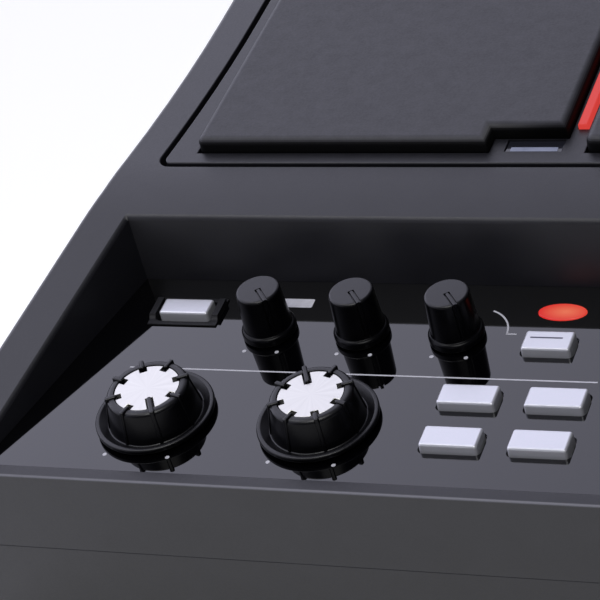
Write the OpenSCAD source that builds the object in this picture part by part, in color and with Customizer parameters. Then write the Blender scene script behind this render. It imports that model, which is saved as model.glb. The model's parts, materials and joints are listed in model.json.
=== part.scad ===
// Sampling drum pad: a wedge-shaped tabletop case with rubber pads in a frame, a sunk control panel
// with knobs and keys at the front, and a row of sockets at the back.
// The origin is at the bottom centre, the front faces -Y and Z is up. Sizes are in millimetres.
// Most pieces are drawn on the deck, a plane tilted about X that holds the top of the control panel.

/* [Pads] */
// Width of every pad
pad_w = 93; // [85:0.5:105]
// Depth of the six large pads
pad_d = 86; // [75:0.5:100]
// Depth of the three slanted pads at the back
rear_pad_d = 31; // [26:0.5:45]
// Gap between neighbouring pads
pad_gap = 5.7; // [5:0.1:8]
// Height of the pads over their frame
pad_rise = 3.7; // [2.5:0.1:6]
// Extra height at the front of the slanted pads
slant_rise = 1.6; // [0.5:0.1:4]
// Radius of a pad's corners
pad_corner_r = 2; // [1:0.1:4]
// Width of the notch at a pad's front right corner
notch_w = 18.3; // [16:0.1:26]
// Depth of that notch
notch_d = 5.5; // [4.2:0.1:8]

/* [Pad frame] */
// Frame beside the pads where the sides run parallel
frame_side = 4.6; // [4.2:0.1:12]
// Frame in front of the pads
frame_front = 4.4; // [4:0.1:8]
// Frame behind the pads
frame_rear = 6; // [4:0.1:12]
// Thickness of the frame's rim
frame_t = 3; // [2.6:0.1:5]
// Radius of the frame's corners
frame_corner_r = 2; // [1:0.1:8]
// Groove around the frame
groove = 1.4; // [0.5:0.1:2]
// Width of the ledge that carries the frame
frame_seat_w = 3; // [2.5:0.1:3.5]
// Thickness of that ledge
frame_seat_t = 2.5; // [2:0.1:5]
// Gap around pads and trim in their frame
frame_fit = 0.3; // [0.2:0.05:0.5]
// Thickness of the steel plate under the pads
plate_t = 2; // [1:0.1:4]
// Plate beyond the outer pads
plate_margin = 1.5; // [0.5:0.1:2]
// Radius of a contact sensor
sensor_r = 13; // [8:0.5:14]
// Thickness of a contact sensor
sensor_t = 1.2; // [0.6:0.1:3]
// Width of a light bar
light_w = 2.3; // [1.2:0.1:3]
// Light bar short of each end of its pads
light_inset = 6.3; // [2:0.1:10]
// Light bar above the frame
light_rise = 1.4; // [0.2:0.1:2.4]
// Width of a marker window
window_w = 13.9; // [8:0.1:15]
// Depth of a marker window
window_d = 4.4; // [1.8:0.1:4.6]
// Thickness of a marker window
window_t = 1.4; // [0.8:0.1:1.8]
// Marker window below the frame's top
window_drop = 0.3; // [0.1:0.05:0.6]
// Marker window in front of its pad
window_gap = 0.6; // [0.6:0.1:1.2]
// Marker window short of its pad's side
window_side = 0.3; // [0.2:0.1:3]

/* [Case] */
// Case beside the frame's groove
rim_w = 10; // [6:0.1:14]
// Case behind the frame's groove
rear_rim = 8.2; // [6:0.1:20]
// Widening of each side from the pads to the shoulder
ease_out = 4.9; // [2:0.1:10]
// Length of that widening
ease_len = 72; // [40:1:100]
// Angle of the sides in front of the shoulder
flare_deg = 10.9; // [9:0.1:12]
// Radius of the front corners
front_corner_r = 5; // [4:0.5:8]
// Radius of the rear corners
rear_corner_r = 12; // [6:0.5:16]
// Tilt of the deck
deck_tilt = 5; // [3:0.1:7]
// Height of the control panel's plane at the origin
deck_h = 60.8; // [56:0.2:75]
// Height of the pad deck over the control panel
plateau_h = 17.8; // [15:0.1:24]
// Height of the arms over the control panel at the front edge
arm_front_h = 1.9; // [0.8:0.1:4]
// Half length of the bend from the arms to the pad deck
bend = 10; // [4:0.5:14]
// Radius of the rear top edge
rear_edge_r = 8; // [4:0.5:9]
// Depth of the parting plane under the control panel
part_drop = 22; // [19:0.5:26]
// Wall of the case
wall = 2.6; // [2:0.1:3]
// Radius of a foot
foot_r = 10; // [6:0.5:14]
// Height of a foot
foot_h = 3; // [2:0.1:8]
// Foot's centre from the side of the case
foot_inset_x = 22; // [18:1:60]
// Foot's centre from the front and back of the case
foot_inset_y = 24; // [20:1:50]

/* [Control well] */
// Lip in front of the control panel
lip_w = 3.4; // [3:0.1:10]
// Height of the lip over the panel
lip_h = 0.4; // [0.2:0.1:0.7]
// Depth of the control panel
panel_d = 67.8; // [66:0.2:80]
// Case from the control panel to the frame's groove
shoulder_land = 21.6; // [16:0.1:30]
// Shoulder line in front of the groove
shoulder_gap = 8.8; // [5:0.1:12]
// Thickness of each arm at the panel
arm_w = 14.8; // [13.5:0.1:18]
// Angle of the well's sides
well_flare_deg = 12.9; // [10:0.1:14]
// Lean of the well's back wall
back_lean = 13; // [4:0.5:20]
// Lean of the well's side walls
side_lean = 10; // [4:0.5:15]
// Thickness of the control panel
panel_t = 3; // [2:0.1:4]
// Width of the ledge that carries the panel
panel_seat_w = 3; // [2:0.1:4]
// Thickness of that ledge
panel_seat_t = 2; // [1:0.1:3]
// Gap around fixed pieces in the panel
panel_fit = 0.15; // [0.1:0.05:0.4]

/* [Control knobs] */
// First control knob from the panel's rear left corner
control_inset = 21.9; // [20:0.1:28]
// Control row behind the panel's front edge
control_row = 18.7; // [17:0.1:21]
// Distance between the two control knobs
control_pitch = 40; // [30:0.5:42]
// Radius of the brim
brim_r = 14; // [12.4:0.1:14.5]
// Thickness of the brim
brim_t = 1.3; // [0.8:0.1:2]
// Radius of the grip where it meets the brim
grip_r = 10.7; // [10:0.1:11.5]
// Radius of the grip at its top
grip_top_r = 9.5; // [9.2:0.1:9.9]
// Radius of the aluminium cap
cap_r = 7.6; // [6.5:0.1:8.4]
// Thickness of the cap
cap_t = 1.1; // [0.6:0.1:2]
// Height of the grip's top over the panel
control_h = 8.7; // [7.5:0.1:14]
// Width of a grip rib
rib_w = 1.5; // [1:0.1:2]
// Number of grip ribs
rib_count = 8; // [6:1:12]
// Ribs over the cap's edge
rib_bite = 1.4; // [0.6:0.1:2]
// Pointer rib over the cap's edge
pointer_bite = 3.7; // [2.2:0.1:4.5]
// Direction of the first knob's pointer
control_1_angle = -61; // [-62:1:240]
// Direction of the second knob's pointer
control_2_angle = 117; // [-62:1:240]

/* [Volume knobs] */
// First volume knob to the right of the first control knob
volume_shift = 17.4; // [14:0.1:20]
// Distance between volume knobs
volume_pitch = 23.05; // [19:0.05:24]
// Volume row behind the control row
volume_row = 30.6; // [28:0.1:33]
// Radius of a volume knob's top
volume_top_r = 5.06; // [4.4:0.02:5.4]
// Radius of a volume knob's foot
volume_r = 5.7; // [5.5:0.05:6.1]
// Radius of a volume knob's collar
collar_r = 6.5; // [6.3:0.1:7.5]
// Height of that collar
collar_h = 2.2; // [1.5:0.1:3.5]
// Height of a volume knob's top over the panel
volume_h = 12.35; // [10:0.05:18]
// Width of the pointer rib
pointer_w = 0.9; // [0.5:0.1:1.6]
// Direction of the volume pointers
volume_angle = -52; // [-62:1:240]
// Gap under every knob
knob_gap = 0.4; // [0.3:0.1:1]

/* [Shafts and potentiometers] */
// Radius of a knob shaft
shaft_r = 3; // [2.5:0.1:3.3]
// Running clearance of a shaft
shaft_play = 0.05; // [0.02:0.01:0.09]
// Radius of a potentiometer's bushing
bushing_r = 4.2; // [3.8:0.1:4.8]
// Width of a potentiometer
pot_w = 16; // [12:0.5:17]
// Height of a potentiometer
pot_h = 6.5; // [5:0.1:7]
// Floor of a potentiometer under its shaft
pot_floor = 0.6; // [0.4:0.1:1]
// Gap between that floor and the shaft's end
shaft_end_gap = 0.6; // [0.3:0.1:1]
// Shaft inside its knob, short of the top
shaft_cover = 2.4; // [1.8:0.1:3]

/* [Keys] */
// Width of a key
key_w = 12.9; // [10:0.1:14]
// Width of the start key
start_w = 11; // [9:0.1:13]
// Depth of a key
key_d = 5.65; // [4.8:0.05:7]
// Height of a key over the panel
key_rise = 2.2; // [1.2:0.1:4]
// Travel of a key
key_travel = 0.8; // [0.3:0.05:1]
// Gap around a key
key_fit = 0.85; // [0.5:0.05:1]
// Radius of a key's corners
key_corner_r = 0.7; // [0.3:0.1:1.5]
// Flange around a key under the panel
key_flange = 1.5; // [1.2:0.1:1.8]
// Thickness of that flange
key_flange_t = 1; // [0.6:0.1:1.4]
// Radius of a key's stem
stem_r = 1.5; // [1:0.1:2]
// Distance between key columns
key_pitch_x = 20.1; // [18:0.1:22]
// Distance between key rows
key_pitch_y = 13.8; // [12:0.1:14.5]
// First effect column to the right of the first control knob
effect_shift = 72.6; // [70:0.05:76]
// Front key row in front of the control row
key_row = 4.7; // [4:0.1:9]
// Start key to the right of the first control knob
start_shift = 85.95; // [84:0.05:90]
// Start key behind the control row
start_row = 27.8; // [24:0.1:28]
// Power key to the left of the first control knob
power_shift = 6; // [4:0.05:8]
// Power key behind the control row
power_row = 36.6; // [33:0.1:37]
// Raised cheeks beside the power key
cheek_w = 1.6; // [1.6:0.1:2.6]
// Height of those cheeks
cheek_h = 1.6; // [1:0.1:3]
// Frame in front of and behind the power key
bezel_rim = 1.2; // [1:0.1:2.2]
// Thickness of that frame over the panel
bezel_t = 0.4; // [0.4:0.1:1.2]
// Step from that frame to its spigot in the panel
spigot_step = 0.4; // [0.2:0.1:0.5]
// Height of a switch on the panel board
switch_h = 3.5; // [2.5:0.1:3.8]
// Width of a switch
switch_w = 6; // [4:0.1:6.5]
// Gap left under a pressed key
key_stop = 0.1; // [0.05:0.05:0.3]

/* [Tempo lens and display] */
// Tempo lens to the right of the first control knob
lens_shift = 85.9; // [83:0.1:89]
// Tempo lens behind the control row
lens_row = 39.9; // [38:0.1:42]
// Half width of the tempo lens
lens_rx = 5.7; // [4:0.1:7]
// Half depth of the tempo lens
lens_ry = 2.9; // [2:0.1:3.4]
// Height of the lens over the panel
lens_rise = 0.25; // [0.1:0.05:0.6]
// Display's centre to the right of the body's centre
display_x = 22; // [16:0.5:28]
// Width of the display window
display_w = 72; // [50:0.5:76]
// Depth of the display window
display_d = 30; // [24:0.5:33]
// Thickness of the display window
glass_t = 1.4; // [0.8:0.1:1.8]
// Ledge under the display window
glass_seat = 3; // [1.5:0.1:5]
// Thickness of the display module
module_t = 4.5; // [3:0.1:6]
// Display window from the ledge at the back of the panel
display_back = 0.6; // [0.4:0.1:1.4]
// Last key column on the right from the panel's edge
right_inset = 14; // [12:0.1:18]

/* [Boards] */
// Top of the panel board under the control panel's top
board_drop = 11; // [10.6:0.1:13]
// Thickness of a circuit board
board_t = 1.6; // [1:0.1:2]
// Panel board inside the edge of the panel
board_inset = 7; // [6.5:0.1:10]
// Radius of the posts that carry a board
post_r = 2.6; // [2.2:0.1:3.4]
// Front posts behind the panel's front edge
post_front = 30; // [29:0.5:31]
// Front posts inside the panel board's edge
post_edge = 3.6; // [3.4:0.1:5]
// Panel side of a post left whole over its screw
post_cover = 1; // [0.6:0.1:2]
// Radius of a board screw
board_screw_r = 1.1; // [0.8:0.05:1.4]
// Height of a board screw's head
board_head_h = 1.4; // [0.8:0.1:2]
// Width of the main board
main_w = 212; // [206:1:240]
// Depth of the main board
main_d = 92; // [60:1:110]
// Height of the posts under the main board
main_post_h = 6; // [4:0.5:9]
// Rear posts in front of the main board's rear edge
main_post_back = 35; // [35:0.5:50]

/* [Case screws and stand inserts] */
// Radius of a case screw
screw_r = 1.5; // [1.2:0.05:1.8]
// Radius of a case screw's head
screw_head_r = 2.8; // [2.4:0.1:3]
// Height of a case screw's head
screw_head_h = 2.2; // [1.4:0.1:3]
// Radius of a screw boss in the upper case
boss_r = 3.6; // [3.2:0.1:4]
// Lower case between a screw's head and the parting plane
screw_grip = 7; // [5:0.5:9]
// Front screws behind the panel's front edge
screw_front = 14; // [12:0.5:16]
// Rear screws in front of the deck's back edge
screw_rear = 23; // [22:0.5:30]
// Case screw in its boss
screw_reach = 8; // [5:0.5:10]
// Clearance around screws, inserts and sockets in the case
case_fit = 0.2; // [0.1:0.05:0.4]
// Distance between stand inserts across the body
insert_pitch_x = 100; // [60:1:140]
// Distance between stand inserts along the body
insert_pitch_y = 70; // [50:1:90]
// Stand pattern in front of the body's centre
insert_shift = 30; // [20:1:50]
// Radius of a stand insert's thread
insert_bore_r = 2.5; // [2:0.1:3]
// Outer radius of a stand insert
insert_r = 3.6; // [3.5:0.1:4.2]
// Length of a stand insert
insert_h = 9; // [6:0.5:14]

/* [Sockets] */
// Distance between neighbouring sockets
socket_pitch = 22; // [21.5:0.1:22.5]
// Depth of the socket bay in the back
bay_depth = 4; // [3.6:0.1:7]
// Lower edge of the socket bay
bay_low = 9; // [7:0.5:11]
// Height of the socket bay
bay_h = 26; // [24:0.5:30]
// Radius of a phone jack's bore
jack_bore_r = 3.25; // [3.2:0.01:3.4]
// Depth of a phone jack's bore
jack_bore_d = 28; // [20:0.5:32]
// Radius of a phone jack's bushing
jack_r = 4.5; // [4.2:0.1:5]
// Phone jack's bushing out of the bay's floor
jack_reach = 3; // [2.6:0.1:3.4]
// Width of a phone jack's body
jack_w = 15; // [12:0.5:18]
// Height of a phone jack's body
jack_h = 13.5; // [12:0.1:15]
// Thickness of a jack nut
nut_t = 2; // [1.2:0.1:2.4]
// Radius of a jack nut's corners
nut_r = 6.4; // [6.2:0.1:7.5]
// Radius of a round data socket
din_r = 7.3; // [7:0.1:7.6]
// Height of a round data socket's body
din_h = 18; // [17:0.1:19]

/* [Hidden] */
$fn = 48;
eps = 0.01;
over = 1;
arc_steps = 6;

charcoal = "#4b4b52";
black = "#17171a";
silver = "#d8d8e2";
steel = "#9a9ca0";
board_green = "#1f5a3a";

// Pad field, frame and case along and across the deck
pad_cols = 3;
pad_pitch = pad_w + pad_gap;
field_half = (pad_cols * pad_w + (pad_cols - 1) * pad_gap) / 2;
frame_d = frame_front + 2 * pad_d + 2 * pad_gap + rear_pad_d + frame_rear;
rear_half = field_half + frame_side + groove + rim_w;
deck_len = lip_w + panel_d + shoulder_land + frame_d + 2 * groove + rear_rim;

// The deck starts so far forward that the body's front and back lie as far from the origin
deck_front = -deck_len / 2 - part_drop * tan(deck_tilt) / 2;
deck_back = deck_front + deck_len;
body_half_d = -deck_front * cos(deck_tilt);
panel_front = deck_front + lip_w;
panel_back = panel_front + panel_d;
frame_y0 = panel_back + shoulder_land + groove;
pad_y0 = frame_y0 + frame_front;
shoulder_y = frame_y0 - groove - shoulder_gap;
shoulder_half = rear_half + ease_out;
arm_slope = (plateau_h - arm_front_h) / (shoulder_y - deck_front);
front_reach = side_line(deck_front) + deck_len;

// Heights on the deck
well_top = plateau_h + over;
frame_low = plateau_h - frame_t;
plate_top = frame_low - frame_seat_t;
pad_top = plateau_h + pad_rise;
slant_front = pad_top + slant_rise;
slant_back = plateau_h + pad_rise / 2;
board_top = -board_drop;
stem_low = board_top + switch_h + key_travel + key_stop;

// Controls on the deck
control_x = -(well_line(panel_back) - control_inset);
control_y = panel_front + control_row;
key_front_y = control_y - key_row;
key_back_y = key_front_y + key_pitch_y;
right_x = well_line(key_front_y) - right_inset;
display_y = panel_back - panel_seat_w - display_back - display_d / 2;
control_spots = [for (i = [0:1]) [control_x + i * control_pitch, control_y]];
volume_spots = [for (i = [0:2])
    [control_x + volume_shift + i * volume_pitch, control_y + volume_row]];
power_spot = [control_x - power_shift, control_y + power_row];
start_spot = [control_x + start_shift, control_y + start_row];
lens_spot = [control_x + lens_shift, control_y + lens_row];
key_spots = concat([start_spot],
    [for (row = [key_back_y, key_front_y]) for (i = [0:1])
        [control_x + effect_shift + i * key_pitch_x, row]],
    [for (i = [-1:1]) [display_x + i * key_pitch_x, key_back_y]],
    [for (i = [3, 2]) [right_x - i * key_pitch_x, key_back_y]],
    [for (i = [3:-1:0]) [right_x - i * key_pitch_x, key_front_y]]);

// Frame of the power key around the key
bezel_w = key_w + 2 * (key_fit + cheek_w);
spigot_rim = key_fit + bezel_rim - spigot_step;

// Light bars and marker windows, one row of pads after another
pad_rows = [rear_pad_d, pad_d, pad_d];
row_front = [pad_y0 + 2 * (pad_d + pad_gap), pad_y0 + pad_d + pad_gap, pad_y0];
light_spots = [for (row = [0:2]) for (side = [-1, 1]) [side * pad_pitch / 2, row_front[row], row]];
window_spots = [for (row = [0:2]) for (col = [-1:1])
    [col * pad_pitch + pad_w / 2 - window_w / 2 - window_side,
     row_front[row] + notch_d - frame_fit - window_gap - window_d / 2]];
plate_screw_spots = [for (row = [0:1]) for (side = [-1, 1])
    [side * pad_pitch / 2, row_front[row] - pad_gap / 2]];

// Case screws, in level coordinates
screw_rows = [panel_front + screw_front, pad_y0 + pad_d, deck_back - screw_rear];
screw_spots = [for (y = screw_rows) for (side = [-1, 1])
    [side * (half_w(y) - wall / cos(flare_deg) - boss_r - case_fit), y * cos(deck_tilt)]];

// Panel posts between the board and the panel, and the main board with its sockets
post_front_y = panel_front + post_front;
post_front_x = well_line(post_front_y) - board_inset - post_edge;
post_mid_x = (control_x + effect_shift + display_x) / 2;
post_back_y = panel_back - board_inset - post_r;
post_back_x = -(power_spot[0] + key_w / 2 + key_flange + volume_spots[0][0] - pot_w / 2) / 2;
post_spots = [[-post_front_x, post_front_y], [post_mid_x, post_front_y], [post_front_x, post_front_y],
    [-post_back_x, post_back_y], [post_mid_x, post_back_y], [post_back_x, post_back_y]];
board_head_r = 2 * board_screw_r;
main_z = foot_h + wall + main_post_h;
socket_z = main_z + board_t;
bay_floor = body_half_d - bay_depth;
bay_inner = bay_floor - wall;
socket_count = 9;
jack_places = [0:3];
din_places = [4:5];
usb_b_place = 6;
usb_a_place = 7;
dc_place = 8;
bay_w = socket_count * socket_pitch + 2 * wall;
main_back = bay_inner - case_fit;
main_post_spots = [for (x = [-1, 1]) for (y = [main_back - main_d + 2 * post_r, main_back - main_post_back])
    [x * (main_w / 2 - 2 * post_r), y]];
insert_spots = [for (x = [-1, 1]) for (y = [-1, 1])
    [x * insert_pitch_x / 2, y * insert_pitch_y / 2 - insert_shift]];
foot_spots = [for (x = [-1, 1]) for (y = [-1, 1])
    [x * (rear_half - foot_inset_x), y * (body_half_d - foot_inset_y)]];
usb_b = [12, 16, 11];
usb_b_mouth = [8.6, 9, 7.9];
usb_b_tongue = [5.6, 8, 3.2];
usb_a = [13.2, 14, 6];
usb_a_mouth = [12.4, 10, 5.2];
usb_a_tongue = [11.1, 8, 1.9];
dc_body = [9, 14, 11];
dc_r = 4.2;
dc_bore_r = 2.9;
dc_bore_d = 9;
dc_pin_r = 1;
din_w = 19;
din_d = 12;
din_plug_r = 5.4;
din_slot_r = 6.6;
din_slot_d = 7;
din_pin_r = 0.75;
din_pin_circle_r = 3.6;
din_pin_step = 45;

// Points of an arc about c, from angle a0 to a1
function arc(c, r, a0, a1) = [for (i = [0:arc_steps])
    let (a = a0 + (a1 - a0) * i / arc_steps) [c[0] + r * cos(a), c[1] + r * sin(a)]];
function mirrored(points) = [for (i = [len(points) - 1:-1:0]) [-points[i][0], points[i][1]]];

// Half width of the case: straight flared sides in front, an eased stretch, then parallel sides
function side_line(y) = shoulder_half + tan(flare_deg) * (shoulder_y - y);
function well_line(y) = side_line(panel_back) - arm_w + tan(well_flare_deg) * (panel_back - y);
function ease_part(y) = 1 - (y - shoulder_y) / ease_len;
function half_w(y) = y < shoulder_y ? side_line(y)
    : y < shoulder_y + ease_len ? rear_half + ease_out * pow(ease_part(y), 2) : rear_half;

// Top of the case: sloping arms, a bend at the shoulder, then the flat pad deck
function top_z(y) = y < shoulder_y - bend ? plateau_h - arm_slope * (shoulder_y - y)
    : y < shoulder_y + bend ? plateau_h - arm_slope / (4 * bend) * pow(shoulder_y + bend - y, 2)
    : plateau_h;

// Right half of the plan outline, set in by i
function right_side(i) = let (
    front_y = deck_front + front_corner_r,
    front_x = side_line(front_y + front_corner_r * sin(flare_deg)) - front_corner_r * cos(flare_deg),
    side_in = i / cos(flare_deg))
    concat(arc([front_x, front_y], front_corner_r - i, -90, flare_deg),
        [for (k = [0:arc_steps]) let (y = shoulder_y + ease_len * k / arc_steps) [half_w(y) - side_in, y]],
        arc([rear_half - rear_corner_r, deck_back - rear_corner_r], rear_corner_r - i, 0, 90));
module outline(i) polygon(concat(right_side(i), mirrored(right_side(i))));

// Side profile as [y, z], set in by i and reaching down to low
function profile(i, low) = concat([[deck_front + i, low], [deck_front + i, top_z(deck_front + i) - i]],
    [for (k = [0:arc_steps]) let (y = shoulder_y - bend + 2 * bend * k / arc_steps) [y, top_z(y) - i]],
    arc([deck_back - rear_edge_r, plateau_h - rear_edge_r], rear_edge_r - i, 90, 0),
    [[deck_back - i, low]]);

// Rectangle with rounded corners, centred on the origin
module round_rect(w, d, r) {
    right = concat(arc([w / 2 - r, r - d / 2], r, -90, 0), arc([w / 2 - r, d / 2 - r], r, 0, 90));
    polygon(concat(right, mirrored(right)));
}

// From the deck to the level frame and back
module deck() translate([0, 0, deck_h]) rotate([deck_tilt, 0, 0]) children();
module level() rotate([-deck_tilt, 0, 0]) translate([0, 0, -deck_h]) children();

// Height of the parting plane over a level point
function part_z(y) = deck_h + y * tan(deck_tilt) - part_drop / cos(deck_tilt);

// Upper case as a full block, set in by i
module upper_block(i, low) intersection() {
    translate([0, 0, low]) linear_extrude(plateau_h + over - low) outline(i);
    rotate([90, 0, 90])
        linear_extrude(2 * side_line(deck_front) + over, center = true) polygon(profile(i, low));
}

// Lower case as a full block, set in by i and reaching up over the parting plane
module lower_block(i, up) intersection() {
    deck() translate([0, 0, -part_drop - 2 * deck_h]) linear_extrude(2 * deck_h + up) outline(i);
    translate([-front_reach, -front_reach, foot_h + i])
        cube([2 * front_reach, front_reach + body_half_d - i, 3 * deck_h]);
}

// Plan of the control well, grown by g, between a front and a back line
function well_points(front, back, g) = let (
    f = well_line(front) + g,
    b = well_line(back) + g)
    [[-f, front], [f, front], [b, back], [-b, back]];
module well_prism(g, low, high) translate([0, 0, low]) linear_extrude(high - low)
    polygon(well_points(panel_front - g, panel_back + g, g));

// Well with leaning walls over the height of the lip, from a front line on, grown by g
module leaning_well(front, g) hull() {
    translate([0, 0, lip_h]) linear_extrude(eps) polygon(well_points(front, panel_back + g, g));
    translate([0, 0, well_top]) linear_extrude(eps) polygon(well_points(front,
        panel_back + g + well_top * tan(back_lean), g + well_top * tan(side_lean)));
}

// Right half of the frame's plan, grown by g, with its side along the side of the case
function frame_half(y) = half_w(y) - rim_w - groove;
function frame_right(g) = let (
    r = max(frame_corner_r + g, frame_fit),
    front = frame_y0 - g + r,
    back = frame_y0 + frame_d + g - r)
    concat(arc([frame_half(front) + g - r, front], r, -90, 0),
        [for (k = [1:arc_steps]) let (y = front + (shoulder_y + ease_len - front) * k / arc_steps)
            [frame_half(y) + g, y]],
        arc([frame_half(back) + g - r, back], r, 0, 90));
module frame_prism(g, low, high) translate([0, 0, low]) linear_extrude(high - low)
    polygon(concat(frame_right(g), mirrored(frame_right(g))));

module screw_bosses() intersection() {
    level() for (p = screw_spots) translate(p) cylinder(r = boss_r, h = 2 * deck_h);
    upper_block(wall / 2, -part_drop);
    translate([-front_reach, -front_reach, -part_drop])
        cube([2 * front_reach, 2 * front_reach, part_drop + plate_top + eps]);
}

module top_case() color(charcoal) deck() difference() {
    union() {
        difference() {
            upper_block(0, -part_drop);
            difference() {
                upper_block(wall, -part_drop - over);
                union() {
                    well_prism(wall, -panel_t - panel_seat_t, lip_h + eps);
                    leaning_well(panel_front - wall, wall);
                    frame_prism(groove + wall, plate_top, plateau_h);
                }
            }
        }
        screw_bosses();
    }
    well_prism(0, -panel_t, lip_h + eps);
    well_prism(-panel_seat_w, -panel_t - panel_seat_t - over, -panel_t + eps);
    leaning_well(deck_front - over, 0);
    frame_prism(groove, frame_low, plateau_h + over);
    frame_prism(groove - frame_seat_w, plate_top - over, frame_low + eps);
    level() for (p = screw_spots) translate([p[0], p[1], part_z(p[1]) - over])
        cylinder(r = screw_r, h = screw_reach + 2 * over);
}

// Screw columns of the lower case
column_r = screw_head_r + case_fit + wall / 2;
module screw_columns() intersection() {
    for (p = screw_spots) translate([p[0], p[1], foot_h]) cylinder(r = column_r, h = 2 * deck_h);
    lower_block(0, 0);
}

module bay(g) translate([-bay_w / 2 - g, bay_floor - g, bay_low - g])
    cube([bay_w + 2 * g, 2 * bay_depth + g, bay_h + 2 * g]);

function socket_x(i) = (i - (socket_count - 1) / 2) * socket_pitch;
module back_hole(i, z, r) translate([socket_x(i), bay_inner - over, z]) rotate([-90, 0, 0])
    cylinder(r = r, h = wall + 2 * over);
module back_slot(i, size) translate([socket_x(i) - size[0] / 2 - case_fit, bay_inner - over,
    socket_z - case_fit]) cube([size[0] + 2 * case_fit, wall + 2 * over, size[2] + 2 * case_fit]);

module bottom_case() color(charcoal) difference() {
    union() {
        difference() {
            lower_block(0, 0);
            difference() {
                lower_block(wall, over);
                bay(wall);
            }
        }
        screw_columns();
        for (p = main_post_spots) translate([p[0], p[1], foot_h + wall - eps])
            cylinder(r = post_r, h = main_post_h + eps);
        for (p = insert_spots) translate([p[0], p[1], foot_h])
            cylinder(r = insert_r + wall, h = insert_h + wall);
    }
    bay(0);
    for (p = screw_spots) translate([p[0], p[1], 0]) {
        cylinder(r = screw_r + case_fit, h = 2 * deck_h);
        cylinder(r = screw_head_r + case_fit, h = part_z(p[1]) - screw_grip);
    }
    for (p = main_post_spots) translate([p[0], p[1], main_z - main_post_h])
        cylinder(r = board_screw_r, h = main_post_h + over);
    for (p = insert_spots) translate([p[0], p[1], foot_h - over])
        cylinder(r = insert_r, h = insert_h + over);
    for (i = jack_places) back_hole(i, socket_z + jack_h / 2, jack_r + case_fit);
    for (i = din_places) back_hole(i, socket_z + din_h / 2, din_r + case_fit);
    back_slot(usb_b_place, usb_b);
    back_slot(usb_a_place, usb_a);
    back_hole(dc_place, socket_z + dc_body[2] / 2, dc_r + case_fit);
}

module rubber_feet() color(black) for (p = foot_spots) translate(p) cylinder(r = foot_r, h = foot_h);

module stand_inserts() color("#b59a4a") for (p = insert_spots)
    translate([p[0], p[1], foot_h]) difference() {
        cylinder(r = insert_r, h = insert_h);
        translate([0, 0, -over]) cylinder(r = insert_bore_r, h = insert_h + 2 * over);
    }

// Screw with its head below the origin and its shank above
module screw(r, reach, head_r, head_h) {
    translate([0, 0, -head_h]) cylinder(r = head_r, h = head_h);
    cylinder(r = r, h = reach);
}

module screws() color(steel) {
    for (p = screw_spots) translate([p[0], p[1], part_z(p[1]) - screw_grip])
        screw(screw_r, screw_grip + screw_reach, screw_head_r, screw_head_h);
    for (p = main_post_spots) translate([p[0], p[1], socket_z]) mirror([0, 0, 1])
        screw(board_screw_r, main_post_h, board_head_r, board_head_h);
    deck() for (p = post_spots) translate([p[0], p[1], board_top - board_t])
        screw(board_screw_r, board_t + board_drop - panel_t - post_cover, board_head_r, board_head_h);
    deck() for (p = plate_screw_spots) translate([p[0], p[1], plate_top - plate_t])
        screw(board_screw_r, plate_t + frame_seat_t, board_head_r, board_head_h);
}

// Plans of a key, the tempo lens and the display, grown by g
module key_plan(g, w = key_w) round_rect(w + 2 * g, key_d + 2 * g, key_corner_r + g);
module lens_plan(g) polygon([for (i = [0:4 * arc_steps - 1]) let (a = 90 * i / arc_steps)
    [(lens_rx + g) * cos(a), (lens_ry + g) * sin(a)]]);

module display_prism(g, low, high) translate([display_x, display_y, low]) linear_extrude(high - low)
    square([display_w + 2 * g, display_d + 2 * g], center = true);

module control_panel() color(black) deck() difference() {
    union() {
        well_prism(-panel_fit, -panel_t, 0);
        for (p = post_spots) translate([p[0], p[1], board_top])
            cylinder(r = post_r, h = board_drop - panel_t + eps);
    }
    for (p = concat(control_spots, volume_spots)) translate([p[0], p[1], -panel_t - over])
        cylinder(r = bushing_r + panel_fit, h = panel_t + 2 * over);
    for (p = key_spots) translate([p[0], p[1], -panel_t - over])
        linear_extrude(panel_t + 2 * over) key_plan(key_fit, p == start_spot ? start_w : key_w);
    translate([power_spot[0], power_spot[1], -panel_t - over])
        linear_extrude(panel_t + 2 * over) key_plan(spigot_rim + panel_fit);
    translate([lens_spot[0], lens_spot[1], -panel_t - over])
        linear_extrude(panel_t + 2 * over) lens_plan(panel_fit);
    display_prism(panel_fit, -glass_t, over);
    display_prism(-glass_seat, -panel_t - over, 0);
    for (p = post_spots) translate([p[0], p[1], board_top - over])
        cylinder(r = board_screw_r, h = board_drop - panel_t - post_cover + over);
}

// Plan of a pad with its notch, its front left corner at the origin
module pad_plan(d) difference() {
    translate([pad_w / 2, d / 2]) round_rect(pad_w, d, pad_corner_r);
    translate([pad_w - notch_w, -over]) square([notch_w + over, notch_d + over]);
}

module pad(row, col) color("#2b2b2e") deck()
    translate([(col - 1) * pad_pitch - pad_w / 2, row_front[row], 0])
    intersection() {
        translate([0, 0, plate_top]) linear_extrude(slant_front - plate_top) pad_plan(pad_rows[row]);
        rotate([90, 0, 90]) linear_extrude(pad_w) polygon([[0, plate_top], [pad_rows[row], plate_top],
            [pad_rows[row], row == 0 ? slant_back : pad_top], [0, row == 0 ? slant_front : pad_top]]);
    }
module pad_1() pad(0, 0);
module pad_2() pad(0, 1);
module pad_3() pad(0, 2);
module pad_4() pad(1, 0);
module pad_5() pad(1, 1);
module pad_6() pad(1, 2);
module pad_7() pad(2, 0);
module pad_8() pad(2, 1);
module pad_9() pad(2, 2);

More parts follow.
